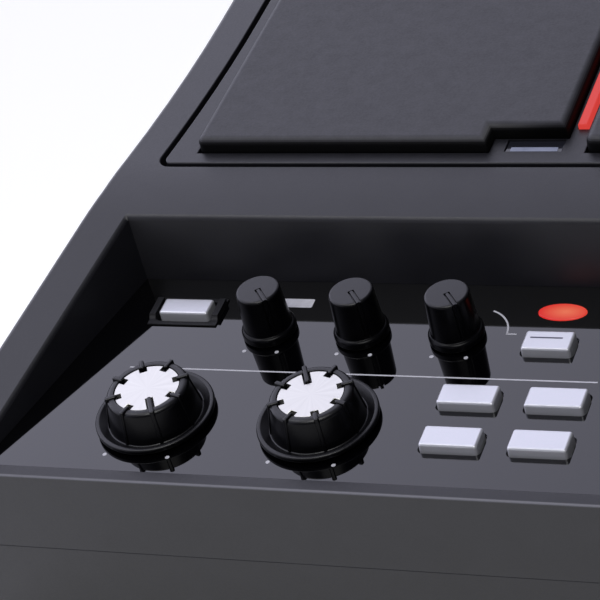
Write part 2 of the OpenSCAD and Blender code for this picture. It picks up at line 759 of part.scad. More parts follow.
// Hole in the frame for a pad, open in its notch as well
module pad_pocket(row, col) translate([(col - 1) * pad_pitch, row_front[row], 0]) {
    low = plate_top - over;
    high = frame_t + frame_seat_t + 2 * over;
    translate([-pad_w / 2 - frame_fit, notch_d - frame_fit, low])
        cube([pad_w + 2 * frame_fit, pad_rows[row] - notch_d + 2 * frame_fit, high]);
    translate([-pad_w / 2 - frame_fit, -frame_fit, low])
        cube([pad_w - notch_w + 2 * frame_fit, notch_d + frame_fit, high]);
}

// Blocks of the light bars and marker windows, grown by g in plan and reaching up over their own height
module light_blocks(g, up) for (p = light_spots)
    translate([p[0] - light_w / 2 - g, p[1] + light_inset - g, frame_low])
    cube([light_w + 2 * g, pad_rows[p[2]] - 2 * light_inset + 2 * g, frame_t + up]);
module window_blocks(g, up) for (p = window_spots)
    translate([p[0] - window_w / 2 - g, p[1] - window_d / 2 - g, plateau_h - window_drop - window_t])
    cube([window_w + 2 * g, window_d + 2 * g, window_t + up]);

module pad_frame() color(charcoal) deck() difference() {
    union() {
        frame_prism(0, frame_low, plateau_h);
        frame_prism(groove - frame_seat_w - frame_fit, plate_top, frame_low + eps);
    }
    for (row = [0:2]) for (col = [0:2]) pad_pocket(row, col);
    light_blocks(frame_fit, over);
    window_blocks(panel_fit, window_drop + over);
    for (p = plate_screw_spots) translate([p[0], p[1], plate_top - over])
        cylinder(r = board_screw_r, h = frame_seat_t + over);
}

module light_bars() color("#e04b46") deck() light_blocks(0, light_rise);
module pad_windows() color("#8f94a8") deck() window_blocks(0, 0);

plate_d = frame_d - frame_front - frame_rear + 2 * plate_margin;
module pad_plate() color(steel) deck() difference() {
    translate([-field_half - plate_margin, pad_y0 - plate_margin, plate_top - plate_t])
        cube([2 * (field_half + plate_margin), plate_d, plate_t]);
    for (p = plate_screw_spots) translate([p[0], p[1], plate_top - plate_t - over])
        cylinder(r = board_screw_r + case_fit, h = plate_t + 2 * over);
}

module pad_sensors() color("#b59a4a") deck() for (row = [0:2]) for (col = [-1:1])
    translate([col * pad_pitch, row_front[row] + pad_rows[row] / 2, plate_top - plate_t - sensor_t])
    cylinder(r = sensor_r, h = sensor_t);

// Shaft turning with its knob; its top lies under the knob's top of height h
shaft_low = board_top + pot_floor + shaft_end_gap;
module shaft(p, h) color(steel) deck() translate([p[0], p[1], shaft_low])
    cylinder(r = shaft_r, h = h - shaft_cover - shaft_low);
module shaft_bore(h) cylinder(r = shaft_r, h = h - shaft_cover);

// Rib on the side of a knob, drawn as [radius, height] and turned to an angle
module side_rib(angle, w, points) rotate([0, 0, angle]) rotate([90, 0, 0])
    linear_extrude(w, center = true) polygon(points);

// Small chamfer on the knobs
edge = 0.4;
module volume_knob(p) color(black) deck() translate(p) difference() {
    union() {
        rotate_extrude() polygon([[0, knob_gap], [collar_r, knob_gap], [collar_r, collar_h],
            [collar_r - edge, collar_h + edge], [volume_r, collar_h + edge],
            [volume_top_r, volume_h - edge], [volume_top_r - edge, volume_h], [0, volume_h]]);
        side_rib(volume_angle, pointer_w, [[0, volume_h - edge], [0, volume_h + edge],
            [volume_top_r, volume_h + edge], [volume_r + edge, collar_h], [volume_r - edge, collar_h],
            [volume_top_r - edge, volume_h - 2 * edge]]);
    }
    shaft_bore(volume_h);
}
module master_knob() volume_knob(volume_spots[0]);
module phones_knob() volume_knob(volume_spots[1]);
module click_knob() volume_knob(volume_spots[2]);
module master_shaft() shaft(volume_spots[0], volume_h);
module phones_shaft() shaft(volume_spots[1], volume_h);
module click_shaft() shaft(volume_spots[2], volume_h);

// Grip rib from the cap's edge over the top and down to the brim
cap_low = control_h - cap_t;
brim_top = knob_gap + brim_t;
function rib_points(bite) = [[cap_r - bite, cap_low], [cap_r - bite, control_h + edge],
    [grip_top_r, control_h + edge], [grip_top_r + edge, control_h - edge],
    [grip_r + edge, brim_top], [grip_r - 2 * edge, brim_top], [cap_r + edge, cap_low]];
function rib_bite_of(i) = i == 0 ? pointer_bite : rib_bite;

module control_knob(p, angle) color(black) deck() translate(p) difference() {
    union() {
        rotate_extrude() polygon([[0, knob_gap], [brim_r - edge, knob_gap], [brim_r, knob_gap + edge],
            [brim_r, brim_top], [brim_r - edge, brim_top + edge], [brim_r - 3 * edge, brim_top],
            [grip_r, brim_top], [grip_top_r, control_h - edge], [grip_top_r - edge, control_h],
            [cap_r + panel_fit, control_h], [cap_r + panel_fit, cap_low], [0, cap_low]]);
        for (i = [0:rib_count - 1])
            side_rib(angle + i * 360 / rib_count, rib_w, rib_points(rib_bite_of(i)));
    }
    shaft_bore(control_h);
}
module control_1_knob() control_knob(control_spots[0], control_1_angle);
module control_2_knob() control_knob(control_spots[1], control_2_angle);
module control_1_shaft() shaft(control_spots[0], control_h);
module control_2_shaft() shaft(control_spots[1], control_h);

module cap(p, angle) color(silver) deck() translate([p[0], p[1], cap_low]) difference() {
    cylinder(r = cap_r, h = cap_t - panel_fit);
    for (i = [0:rib_count - 1]) rotate([0, 0, angle + i * 360 / rib_count])
        translate([cap_r - rib_bite_of(i) - panel_fit, -rib_w / 2 - panel_fit, -over])
        cube([cap_r, rib_w + 2 * panel_fit, cap_t + 2 * over]);
}
module control_1_cap() cap(control_spots[0], control_1_angle);
module control_2_cap() cap(control_spots[1], control_2_angle);

module potentiometers() color("#6b6d70") deck() for (p = concat(control_spots, volume_spots))
    translate([p[0], p[1], board_top]) difference() {
        union() {
            translate([-pot_w / 2, -pot_w / 2, 0]) cube([pot_w, pot_w, pot_h]);
            cylinder(r = bushing_r, h = board_drop);
        }
        translate([0, 0, pot_floor]) cylinder(r = shaft_r + shaft_play, h = board_drop + over);
    }

// Key with its flange under the panel and its stem over the switch
flange_top = -panel_t - key_stop;
module key(p, w = key_w) color(silver) deck() translate(p) {
    translate([0, 0, flange_top - eps]) linear_extrude(key_rise - flange_top + eps) key_plan(0, w);
    translate([0, 0, flange_top - key_flange_t]) linear_extrude(key_flange_t) key_plan(key_flange, w);
    translate([0, 0, stem_low]) cylinder(r = stem_r, h = flange_top - stem_low);
}
module power_button() key(power_spot);
module start_button() key(start_spot, start_w);
module filter_button() key(key_spots[1]);
module delay_button() key(key_spots[2]);
module loop_button() key(key_spots[3]);
module effect_button() key(key_spots[4]);
module function_1_button() key(key_spots[5]);
module function_2_button() key(key_spots[6]);
module function_3_button() key(key_spots[7]);
module exit_button() key(key_spots[8]);
module enter_button() key(key_spots[9]);
module left_button() key(key_spots[10]);
module right_button() key(key_spots[11]);
module minus_button() key(key_spots[12]);
module plus_button() key(key_spots[13]);

// Frame of the power key: a plate on the panel, a spigot through it and a cheek on each side
module power_bezel() color(black) deck() translate(power_spot) difference() {
    union() {
        translate([-bezel_w / 2, -key_d / 2 - key_fit - bezel_rim, 0])
            cube([bezel_w, key_d + 2 * (key_fit + bezel_rim), bezel_t]);
        for (side = [-1, 1]) translate([side * (bezel_w - cheek_w) / 2 - cheek_w / 2, 0, 0])
            rotate([90, 0, 90]) linear_extrude(cheek_w) polygon([
                [-key_d / 2 - key_fit, 0], [key_d / 2 + key_fit, 0],
                [key_d / 2 + key_fit, cheek_h], [cheek_h - key_d / 2 - key_fit - bezel_t, cheek_h]]);
        translate([0, 0, -panel_t]) linear_extrude(panel_t + eps) key_plan(spigot_rim);
    }
    translate([0, 0, -panel_t - over]) linear_extrude(panel_t + cheek_h + 2 * over) key_plan(key_fit);
}

module tempo_lens() color("#ff7a4a") deck() translate([lens_spot[0], lens_spot[1], -panel_t])
    linear_extrude(panel_t + lens_rise) lens_plan(0);

module display_window() color("#101418") deck() display_prism(0, -glass_t, 0);
module display_module() color("#2e3338") deck() display_prism(0, -panel_t - module_t, -panel_t);

module panel_board() color(board_green) deck() difference() {
    well_prism(-board_inset, board_top - board_t, board_top);
    for (p = post_spots) translate([p[0], p[1], board_top - board_t - over])
        cylinder(r = board_screw_r + case_fit, h = board_t + 2 * over);
}

module panel_switches() color(black) deck() for (p = concat([power_spot], key_spots))
    translate([p[0] - switch_w / 2, p[1] - switch_w / 2, board_top]) cube([switch_w, switch_w, switch_h]);

module main_board() color(board_green) difference() {
    translate([-main_w / 2, main_back - main_d, main_z]) cube([main_w, main_d, board_t]);
    for (p = main_post_spots) translate([p[0], p[1], main_z - over])
        cylinder(r = board_screw_r + case_fit, h = board_t + 2 * over);
}

// Sockets stand on the main board and reach through the bay's floor; a socket's own frame has +Y
// pointing out of the back
module at_socket(i, z) translate([socket_x(i), main_back, socket_z + z]) children();
module back_cylinder(r, from, to) translate([0, from, 0]) rotate([-90, 0, 0]) cylinder(r = r, h = to - from);
wall_reach = bay_floor - main_back;

module phone_jacks() color(black) for (i = jack_places) at_socket(i, jack_h / 2) difference() {
    union() {
        translate([-jack_w / 2, -jack_bore_d, -jack_h / 2]) cube([jack_w, jack_bore_d, jack_h]);
        back_cylinder(jack_r, -eps, wall_reach + jack_reach);
    }
    back_cylinder(jack_bore_r, wall_reach + jack_reach - jack_bore_d, wall_reach + jack_reach + over);
}

module jack_nuts() color(steel) for (i = jack_places) at_socket(i, jack_h / 2) difference() {
    translate([0, wall_reach, 0]) rotate([-90, 0, 0]) cylinder(r = nut_r, h = nut_t, $fn = 6);
    back_cylinder(jack_r, wall_reach - over, wall_reach + nut_t + over);
}

module midi_sockets() color(black) for (i = din_places) at_socket(i, din_h / 2) difference() {
    union() {
        translate([-din_w / 2, -din_d, -din_h / 2]) cube([din_w, din_d, din_h]);
        back_cylinder(din_r, -eps, wall_reach + case_fit);
    }
    difference() {
        back_cylinder(din_slot_r, wall_reach - din_slot_d, wall_reach + over);
        back_cylinder(din_plug_r, wall_reach - din_slot_d - over, wall_reach + 2 * over);
    }
    for (k = [-2:2]) rotate([0, din_pin_step * k, 0]) translate([0, 0, -din_pin_circle_r])
        back_cylinder(din_pin_r, wall_reach - din_slot_d, wall_reach + over);
}

// Square socket with a tongue in its mouth
module square_socket(size, mouth, tongue) translate([0, wall_reach, size[2] / 2]) {
    difference() {
        translate([-size[0] / 2, -size[1], -size[2] / 2]) cube(size);
        translate([-mouth[0] / 2, -mouth[1], -mouth[2] / 2]) cube([mouth[0], mouth[1] + over, mouth[2]]);
    }
    translate([-tongue[0] / 2, -mouth[1] - eps, -tongue[2] / 2]) cube([tongue[0], tongue[1], tongue[2]]);
}

module usb_sockets() color(steel) {
    at_socket(usb_b_place, 0) square_socket(usb_b, usb_b_mouth, usb_b_tongue);
    at_socket(usb_a_place, 0) square_socket(usb_a, usb_a_mouth, usb_a_tongue);
}

module dc_inlet() color(black) at_socket(dc_place, dc_body[2] / 2) {
    difference() {
        union() {
            translate([-dc_body[0] / 2, -dc_body[1], -dc_body[2] / 2]) cube(dc_body);
            back_cylinder(dc_r, -eps, wall_reach + case_fit);
        }
        back_cylinder(dc_bore_r, wall_reach - dc_bore_d, wall_reach + over);
    }
    back_cylinder(dc_pin_r, wall_reach - dc_bore_d - eps, wall_reach - over);
}

bottom_case();
top_case();
control_panel();
pad_frame();
rubber_feet();
screws();
stand_inserts();
pad_1();
pad_2();
pad_3();
pad_4();
pad_5();
pad_6();
pad_7();
pad_8();
pad_9();
pad_plate();
pad_sensors();
light_bars();
pad_windows();
master_knob();
phones_knob();
click_knob();
control_1_knob();
control_2_knob();
control_1_cap();
control_2_cap();
master_shaft();
phones_shaft();
click_shaft();
control_1_shaft();
control_2_shaft();
potentiometers();
power_button();
start_button();
filter_button();
delay_button();
loop_button();
effect_button();
function_1_button();
function_2_button();
function_3_button();
exit_button();
enter_button();
left_button();
right_button();
minus_button();
plus_button();
power_bezel();
tempo_lens();
display_window();
display_module();
panel_board();
panel_switches();
main_board();
phone_jacks();
jack_nuts();
midi_sockets();
usb_sockets();
dc_inlet();
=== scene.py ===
"""Looks of a sampling drum pad, dressed around its packed CAD frame.

Sizes in the classes are millimetres, apart from the studio's floor and lamps. Pieces are drawn in the deck's
own frame: its origin lies on the body's middle plane at the control row, x runs to the right, y to the back
along the deck, z off the deck.
"""

import json
import logging
import math
from dataclasses import dataclass
from enum import Enum
from typing import Any, Callable, Iterable, Sequence

import bmesh
import bpy
from mathutils import Matrix, Vector


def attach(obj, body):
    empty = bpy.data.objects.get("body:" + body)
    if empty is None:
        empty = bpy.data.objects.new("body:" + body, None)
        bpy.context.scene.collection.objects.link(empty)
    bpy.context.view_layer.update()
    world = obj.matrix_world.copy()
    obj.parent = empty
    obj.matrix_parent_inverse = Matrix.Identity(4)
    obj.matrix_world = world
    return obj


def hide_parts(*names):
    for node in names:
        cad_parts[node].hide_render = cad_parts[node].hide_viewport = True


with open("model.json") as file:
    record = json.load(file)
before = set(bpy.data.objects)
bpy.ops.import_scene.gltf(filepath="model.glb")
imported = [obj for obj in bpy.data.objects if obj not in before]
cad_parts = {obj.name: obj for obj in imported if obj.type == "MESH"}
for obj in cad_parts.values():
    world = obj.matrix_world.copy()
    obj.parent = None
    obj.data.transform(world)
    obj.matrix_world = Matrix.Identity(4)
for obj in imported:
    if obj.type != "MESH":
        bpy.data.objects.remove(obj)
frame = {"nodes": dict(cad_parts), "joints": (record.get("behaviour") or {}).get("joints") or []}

MM = 0.001
# Points nearer than MERGE are one point, and folds narrower than FOLD are closed, in millimetres
MERGE = 1e-3
FOLD = 0.01
# Slack for telling two places apart, in millimetres
NEAR = 0.1
# Faces that meet at less than FLAT become one, only edges sharper than SHARP are rounded, and edges of a
# finished piece that are sharper than CRISP are shaded as edges
FLAT = math.radians(0.3)
SHARP = math.radians(30)
CRISP = math.radians(40)
# A face looks along an axis when that part of its normal is larger than this
FACING = 0.99
# Face attribute that says how dusty a face is, where 0 leaves painted shade on the sides, and how it follows
# from the upward part of the normal
DUST_AND_SHADE = "dust_and_shade"
DUST_AND_SHADE_GAIN = 2.0
DUST_AND_SHADE_LOSS = 0.7
# Stretch of a noise pattern that holds most of its values
USUAL = (0.3, 0.7)
FULL_TURN = 2 * math.pi
# Length after which a wave texture of scale 1 repeats
WAVE = FULL_TURN / 20
# Kind of a mix node, with the numbers of its first value socket and of its result socket
MIX_NUMBER = ("FLOAT", 2, 0)
MIX_COLOUR = ("RGBA", 6, 2)
LOG = logging.getLogger("drum_pad")
Point = tuple[float, float]
Triple = tuple[float, float, float]
Tree = bpy.types.NodeTree
Node = bpy.types.Node
Socket = bpy.types.NodeSocket
Edge = bmesh.types.BMEdge
EdgeTest = Callable[[Edge], bool]


def linear(colour: str) -> tuple[float, float, float, float]:
    """Turns an sRGB hex colour into a linear one.

    Args:
        colour: a value such as "#4b4b52".

    Returns:
        Red, green, blue and a full alpha.
    """
    parts = [int(colour[i:i + 2], 16) / 255 for i in (1, 3, 5)]
    red, green, blue = [c / 12.92 if c <= 0.04045 else ((c + 0.055) / 1.055) ** 2.4 for c in parts]
    return red, green, blue, 1.0


def add_node(tree: Tree, kind: str, inputs: dict[Any, Any] | None = None, **settings: Any) -> Node:
    """Adds one node with its settings and links.

    Args:
        tree: the material's or world's node tree.
        kind: the node's type name.
        inputs: input name or number to a value, or to the output socket that feeds it.
        settings: attributes of the node.

    Returns:
        The new node.
    """
    node = tree.nodes.new(kind)
    for name, value in settings.items():
        setattr(node, name, value)
    for key, value in (inputs or {}).items():
        if isinstance(value, Socket):
            tree.links.new(value, node.inputs[key])
        else:
            node.inputs[key].default_value = value
    return node


def per_metre(size: float) -> float:
    """Noise scale at which one grain is about size millimetres across."""
    return 1 / (size * MM)


def stand(name: str, data: bpy.types.ID) -> bpy.types.Object:
    """Puts a new object into the scene.

    Args:
        name: the object's name.
        data: the mesh, camera or light that it shows.

    Returns:
        The object.
    """
    obj = bpy.data.objects.new(name, data)
    bpy.context.scene.collection.objects.link(obj)
    return obj


class Deck:
    """The tilted plane of the control panel, read from the first control knob's joint."""

    def __init__(self) -> None:
        """Reads the tilt and the place of the deck from the packed joints."""
        self.joints = {j["name"]: j for j in frame["joints"]}
        first = self.joints["control_1_turn"]
        axis = Vector(first["axis"])
        self.tilt = math.atan2(-axis.y, axis.z)
        _, y, z = first["pos_m"]
        self.matrix = (Matrix.Translation((0, y, z)) @ Matrix.Rotation(self.tilt, 4, "X")
                       @ Matrix.Scale(MM, 4))
        self.inverse = self.matrix.inverted()

    def knob_spot(self, joint: str) -> Vector:
        """Place of a knob's axis on the deck, in millimetres."""
        return self.inverse @ Vector(self.joints[joint]["pos_m"])

    def node_box(self, node: str) -> tuple[Vector, Vector]:
        """Lowest and highest corner of a CAD node on the deck, in millimetres.

        Args:
            node: the CAD node's name.

        Returns:
            The two corners.
        """
        points = [self.inverse @ v.co for v in frame["nodes"][node].data.vertices]
        low = Vector([min(p[i] for p in points) for i in range(3)])
        high = Vector([max(p[i] for p in points) for i in range(3)])
        return low, high

    def metres(self, x: float, y: float, z: float = 0.0) -> Vector:
        """A deck point in the frame's metres."""
        return self.matrix @ Vector((x, y, z))


DECK = Deck()


class Body(Enum):
    """Body of the frame that most pieces ride on."""

    CASE = "case"


class Boolean(Enum):
    """Way in which one shape is worked into another."""

    ADD = "UNION"
    CUT = "DIFFERENCE"


@dataclass(frozen=True)
class Finish:
    """A material with one colour; the kinds below add the detail of their surface."""

    name: str
    colour: str
    roughness: float = 0.5
    metallic: float = 0.0
    ior: float = 1.5
    smoother: float = 0.0
    rougher: float = 0.0

    def material(self) -> bpy.types.Material:
        """Makes the material once and hands it out again after that.

        Returns:
            The material.
        """
        found = bpy.data.materials.get(self.name)
        if found:
            return found
        material = bpy.data.materials.new(self.name)
        material.use_nodes = True
        shader = material.node_tree.nodes["Principled BSDF"]
        shader.inputs["Base Color"].default_value = linear(self.colour)
        shader.inputs["Roughness"].default_value = self.roughness
        shader.inputs["Metallic"].default_value = self.metallic
        shader.inputs["IOR"].default_value = self.ior
        self.detail(material.node_tree, shader)
        return material

    def detail(self, tree: Tree, shader: Node) -> None:
        """Adds what the surface shows beyond its plain colour."""

    def object_point(self, tree: Tree) -> Socket:
        """Socket with the point on the piece, in metres."""
        return add_node(tree, "ShaderNodeTexCoord").outputs["Object"]

    def local_point(self, tree: Tree, centre: Triple, tilt: float = 0.0, unit: Triple = (1, 1, 1)) -> Socket:
        """Point on the piece as it is seen from a place on it.

        Args:
            tree: the material's node tree.
            centre: the place, in metres.
            tilt: turn of the place's own frame about x, in radians.
            unit: length of one unit along each axis, in metres.

        Returns:
            Socket with the point.
        """
        inputs = {"Vector": self.object_point(tree), "Location": centre, "Rotation": (tilt, 0, 0),
                  "Scale": unit}
        return add_node(tree, "ShaderNodeMapping", inputs, vector_type="TEXTURE").outputs[0]

    def distance(self, tree: Tree, point: Socket, axes: Triple) -> Socket:
        """Distance of a point from its origin along chosen axes.

        Args:
            tree: the material's node tree.
            point: socket with the point.
            axes: 1 for an axis that counts and 0 for one that does not.

        Returns:
            Socket with the distance.
        """
        kept = add_node(tree, "ShaderNodeVectorMath", {0: point, 1: axes}, operation="MULTIPLY")
        length = add_node(tree, "ShaderNodeVectorMath", {0: kept.outputs[0]}, operation="LENGTH")
        return length.outputs["Value"]

    def blend(self, tree: Tree, target: Socket, share: Socket, low: Any, high: Any) -> None:
        """Feeds a socket with a mix of two values.

        Args:
            tree: the material's node tree.
            target: the socket to feed, for a colour or a number.
            share: socket that runs from 0 to 1.
            low: value or socket that stands at 0.
            high: value or socket that stands at 1.
        """
        kind, first, result = MIX_COLOUR if target.type == "RGBA" else MIX_NUMBER
        mix = add_node(tree, "ShaderNodeMix", {0: share, first: low, first + 1: high}, data_type=kind)
        tree.links.new(mix.outputs[result], target)

    def tint(self, tree: Tree, shader: Node, share: Socket, low: str, high: str) -> None:
        """Colours the shader between two hex colours, as a share from 0 to 1 says."""
        self.blend(tree, shader.inputs["Base Color"], share, linear(low), linear(high))

    def roughen(self, tree: Tree, shader: Node, pattern: Socket, stretch: Point = USUAL) -> None:
        """Lets the roughness follow a pattern, from smoother to rougher than the finish itself.

        Args:
            tree: the material's node tree.
            shader: its principled shader.
            pattern: socket with the pattern.
            stretch: values of the pattern between which the roughness changes.
        """
        rough = add_node(tree, "ShaderNodeMapRange",
                         {"Value": pattern, "From Min": stretch[0], "From Max": stretch[1],
                          "To Min": self.roughness - self.smoother, "To Max": self.roughness + self.rougher})
        tree.links.new(rough.outputs[0], shader.inputs["Roughness"])


@dataclass(frozen=True)
class Grained(Finish):
    """Moulded plastic or rubber: a fine eroded grain, and a slow cloud of lighter and darker colour."""

    smoother: float = 0.05
    rougher: float = 0.05
    pale: str = "#ffffff"
    grain: float = 0.5
    depth: float = 0.02
    cloud: float = 7.0
    bump: float = 0.6

    def detail(self, tree: Tree, shader: Node) -> None:
        """Adds the grain as bump and roughness, and the cloud as colour.

        Args:
            tree: the material's node tree.
            shader: its principled shader.
        """
        point = self.object_point(tree)
        grain = add_node(tree, "ShaderNodeTexNoise",
                         {"Vector": point, "Scale": per_metre(self.grain), "Detail": 3.0})
        bump = add_node(tree, "ShaderNodeBump",
                        {"Height": grain.outputs[0], "Strength": self.bump, "Distance": self.depth * MM})
        tree.links.new(bump.outputs[0], shader.inputs["Normal"])
        cloud = add_node(tree, "ShaderNodeTexNoise",
                         {"Vector": point, "Scale": per_metre(self.cloud), "Detail": 5.0, "Roughness": 0.6})
        share = add_node(tree, "ShaderNodeMapRange",
                         {"Value": cloud.outputs[0], "From Min": USUAL[0], "From Max": USUAL[1]})
        self.tint(tree, shader, share.outputs[0], self.colour, self.pale)
        self.roughen(tree, shader, grain.outputs[0])


@dataclass(frozen=True)
class PaintedEdgeHighlight(Grained):
    """Moulding with a painted highlight along one straight edge that runs along x."""

    # Colour of the painted highlight at the edge
    highlight_colour: str = "#ffffff"
    edge: Triple = (0.0, 0.0, 0.0)
    reach: float = 0.55
    core: float = 0.45

    def detail(self, tree: Tree, shader: Node) -> None:
        """Adds the grain, then the painted highlight colour, which fades with the distance from the edge.

        Args:
            tree: the material's node tree.
            shader: its principled shader.
        """
        super().detail(tree, shader)
        local = self.local_point(tree, self.edge, unit=(self.reach * MM,) * 3)
        share = add_node(tree, "ShaderNodeMapRange",
                         {"Value": self.distance(tree, local, (0, 1, 1)), "From Min": self.core,
                          "From Max": 1.0, "To Min": 1.0, "To Max": 0.0})
        colour = shader.inputs["Base Color"]
        # Painted highlight: the colour turns pale near the edge
        self.blend(tree, colour, share.outputs[0], colour.links[0].from_socket, linear(self.highlight_colour))


@dataclass(frozen=True)
class DustedAndShaded(Grained):
    """Moulding whose upward faces are dusty or textured while its sides are plain and darkened with painted
    shade.
    """

    # Colour of the painted shade on the sides
    side: str = "#000000"
    side_shine: float = 0.5
    side_roughness: float = 0.5

    def detail(self, tree: Tree, shader: Node) -> None:
        """Adds the grain, then changes shine and roughness towards the sides, and darkens their colour as
        painted shade.

        Args:
            tree: the material's node tree.
            shader: its principled shader.
        """
        super().detail(tree, shader)
        dust_and_shade = add_node(tree, "ShaderNodeAttribute", attribute_name=DUST_AND_SHADE).outputs["Fac"]
        colour = shader.inputs["Base Color"]
        # Painted shade: the sides take the dark side colour
        self.blend(tree, colour, dust_and_shade, linear(self.side), colour.links[0].from_socket)
        shine = shader.inputs["Specular IOR Level"]
        self.blend(tree, shine, dust_and_shade, self.side_shine, shine.default_value)
        rough = shader.inputs["Roughness"]
        self.blend(tree, rough, dust_and_shade, self.side_roughness, rough.links[0].from_socket)


@dataclass(frozen=True)
class Polished(Finish):
    """Acrylic sheet: black through the body, with a mirror-like top that faint handling marks dull."""

    rougher: float = 0.03
    coat: float = 1.0
    coat_roughness: float = 0.015
    mark: float = 18.0
    marked: Point = (0.35, 0.75)

    def detail(self, tree: Tree, shader: Node) -> None:
        """Adds the second reflecting face of the sheet and the handling marks.

        Args:
            tree: the material's node tree.
            shader: its principled shader.
        """
        shader.inputs["Coat Weight"].default_value = self.coat
        shader.inputs["Coat Roughness"].default_value = self.coat_roughness
        marks = add_node(tree, "ShaderNodeTexNoise",
                         {"Vector": self.object_point(tree), "Scale": per_metre(self.mark), "Detail": 4.0})
        self.roughen(tree, shader, marks.outputs[0], self.marked)


@dataclass(frozen=True)
class SpunMetal(Finish):
    """Aluminium faced on a lathe: fine rings about its centre, and faint streaks that run out from it, in
    roughness and as painted sheen in the colour.
    """

    smoother: float = 0.03
    rougher: float = 0.04
    dark: str = "#cccbc5"
    centre: Triple = (0.0, 0.0, 0.0)
    ring: float = 0.45
    ring_depth: float = 0.006
    ring_bump: float = 0.35
    streaks: float = 26.0
    streaked: Point = (0.25, 0.75)

    def detail(self, tree: Tree, shader: Node) -> None:
        """Adds the turning rings as bump, and the streaks as roughness and as painted sheen in the colour.

        Args:
            tree: the material's node tree.
            shader: its principled shader.
        """
        local = self.local_point(tree, self.centre, DECK.tilt)
        rings = add_node(tree, "ShaderNodeTexWave",
                         {"Vector": local, "Scale": WAVE / (self.ring * MM), "Distortion": 0.4},
                         wave_type="RINGS", rings_direction="Z")
        bump = add_node(tree, "ShaderNodeBump",
                        {"Height": rings.outputs[1], "Strength": self.ring_bump,
                         "Distance": self.ring_depth * MM})
        tree.links.new(bump.outputs[0], shader.inputs["Normal"])
        angle = add_node(tree, "ShaderNodeTexGradient", {"Vector": local}, gradient_type="RADIAL")
        streak = add_node(tree, "ShaderNodeTexNoise",
                          {"W": angle.outputs[1], "Scale": self.streaks, "Detail": 4.0},
                          noise_dimensions="1D")
        self.roughen(tree, shader, streak.outputs[0], self.streaked)
        # Painted sheen: the colour brightens and darkens along the streaks
        share = add_node(tree, "ShaderNodeMapRange",
                         {"Value": streak.outputs[0], "From Min": USUAL[0], "From Max": USUAL[1]})
        self.tint(tree, shader, share.outputs[0], self.dark, self.colour)


@dataclass(frozen=True)
class FlakePaint(Finish):
    """Silver paint on moulded keys: tiny flakes turned this way and that, drawn coarse enough to show."""

    dark: str = "#d3d3da"
    flake: float = 0.35
    flake_depth: float = 0.01
    flake_bump: float = 0.04

    def detail(self, tree: Tree, shader: Node) -> None:
        """Adds the flakes as small tilts of the surface and small steps of brightness.

        Args:
            tree: the material's node tree.
            shader: its principled shader.
        """
        flakes = add_node(tree, "ShaderNodeTexVoronoi",
                          {"Vector": self.object_point(tree), "Scale": per_metre(self.flake)})
        bump = add_node(tree, "ShaderNodeBump",
                        {"Height": flakes.outputs[0], "Strength": self.flake_bump,
                         "Distance": self.flake_depth * MM})
        tree.links.new(bump.outputs[0], shader.inputs["Normal"])
        level = add_node(tree, "ShaderNodeSeparateColor", {0: flakes.outputs[1]})
        self.tint(tree, shader, level.outputs[0], self.dark, self.colour)


@dataclass(frozen=True)
class Lit(Finish):
    """Translucent plastic lit from behind, whose glow changes colour across the piece."""

    glow: float = 0.8
    near: str = "#ffffff"
    far: str = "#ffffff"
    centre: Triple = (0.0, 0.0, 0.0)
    reach: Point = (5.0, 5.0)

    def detail(self, tree: Tree, shader: Node) -> None:
        """Adds the glow, which runs from the near colour at the centre to the far colour at the rim.

        Args:
            tree: the material's node tree.
            shader: its principled shader.
        """
        unit = (self.reach[0] * MM, self.reach[1] * MM, MM)
        local = self.local_point(tree, self.centre, DECK.tilt, unit)
        share = self.distance(tree, local, (1, 1, 0))
        self.blend(tree, shader.inputs["Emission Color"], share, linear(self.near), linear(self.far))
        shader.inputs["Emission Strength"].default_value = self.glow


@dataclass(frozen=True)
class Worn(Finish):
    """Turned, stamped or plated metal, or a lacquered board, with faint cloudy handling marks."""

    smoother: float = 0.06
    rougher: float = 0.08
    pale: str = "#ffffff"
    cloud: float = 2.5

    def detail(self, tree: Tree, shader: Node) -> None:
        """Adds the cloud as colour and roughness.

        Args:
            tree: the material's node tree.
            shader: its principled shader.
        """
        cloud = add_node(tree, "ShaderNodeTexNoise",
                         {"Vector": self.object_point(tree), "Scale": per_metre(self.cloud), "Detail": 4.0})
        self.tint(tree, shader, cloud.outputs[0], self.colour, self.pale)
        self.roughen(tree, shader, cloud.outputs[0])


@dataclass(frozen=True)
class Clear(Finish):
    """Clear window that lets what lies behind it show."""

    rougher: float = 0.04
    passes: float = 1.0
    speck: float = 6.0
    specked: Point = (0.4, 0.8)

    def detail(self, tree: Tree, shader: Node) -> None:
        """Lets light through, with a trace of dust on the surface.

        Args:
            tree: the material's node tree.
            shader: its principled shader.
        """
        shader.inputs["Transmission Weight"].default_value = self.passes
        specks = add_node(tree, "ShaderNodeTexNoise",
                          {"Vector": self.object_point(tree), "Scale": per_metre(self.speck), "Detail": 5.0})
        self.roughen(tree, shader, specks.outputs[0], self.specked)


@dataclass(frozen=True)
class Paper(Finish):
    """Matte paper that glows a little and can be looked through from below."""

    tone: str = "#ffffff"
    glow: float = 0.1

    def detail(self, tree: Tree, shader: Node) -> None:
        """Takes off the shine, adds the glow and clears the underside.

        Args:
            tree: the material's node tree.
            shader: its principled shader.
        """
        shader.inputs["Specular IOR Level"].default_value = 0.0
        shader.inputs["Emission Color"].default_value = linear(self.tone)
        shader.inputs["Emission Strength"].default_value = self.glow
        below = add_node(tree, "ShaderNodeNewGeometry").outputs["Backfacing"]
        clear = add_node(tree, "ShaderNodeBsdfTransparent")
        mix = add_node(tree, "ShaderNodeMixShader", {0: below, 1: shader.outputs[0], 2: clear.outputs[0]})
        tree.links.new(mix.outputs[0], tree.nodes["Material Output"].inputs["Surface"])


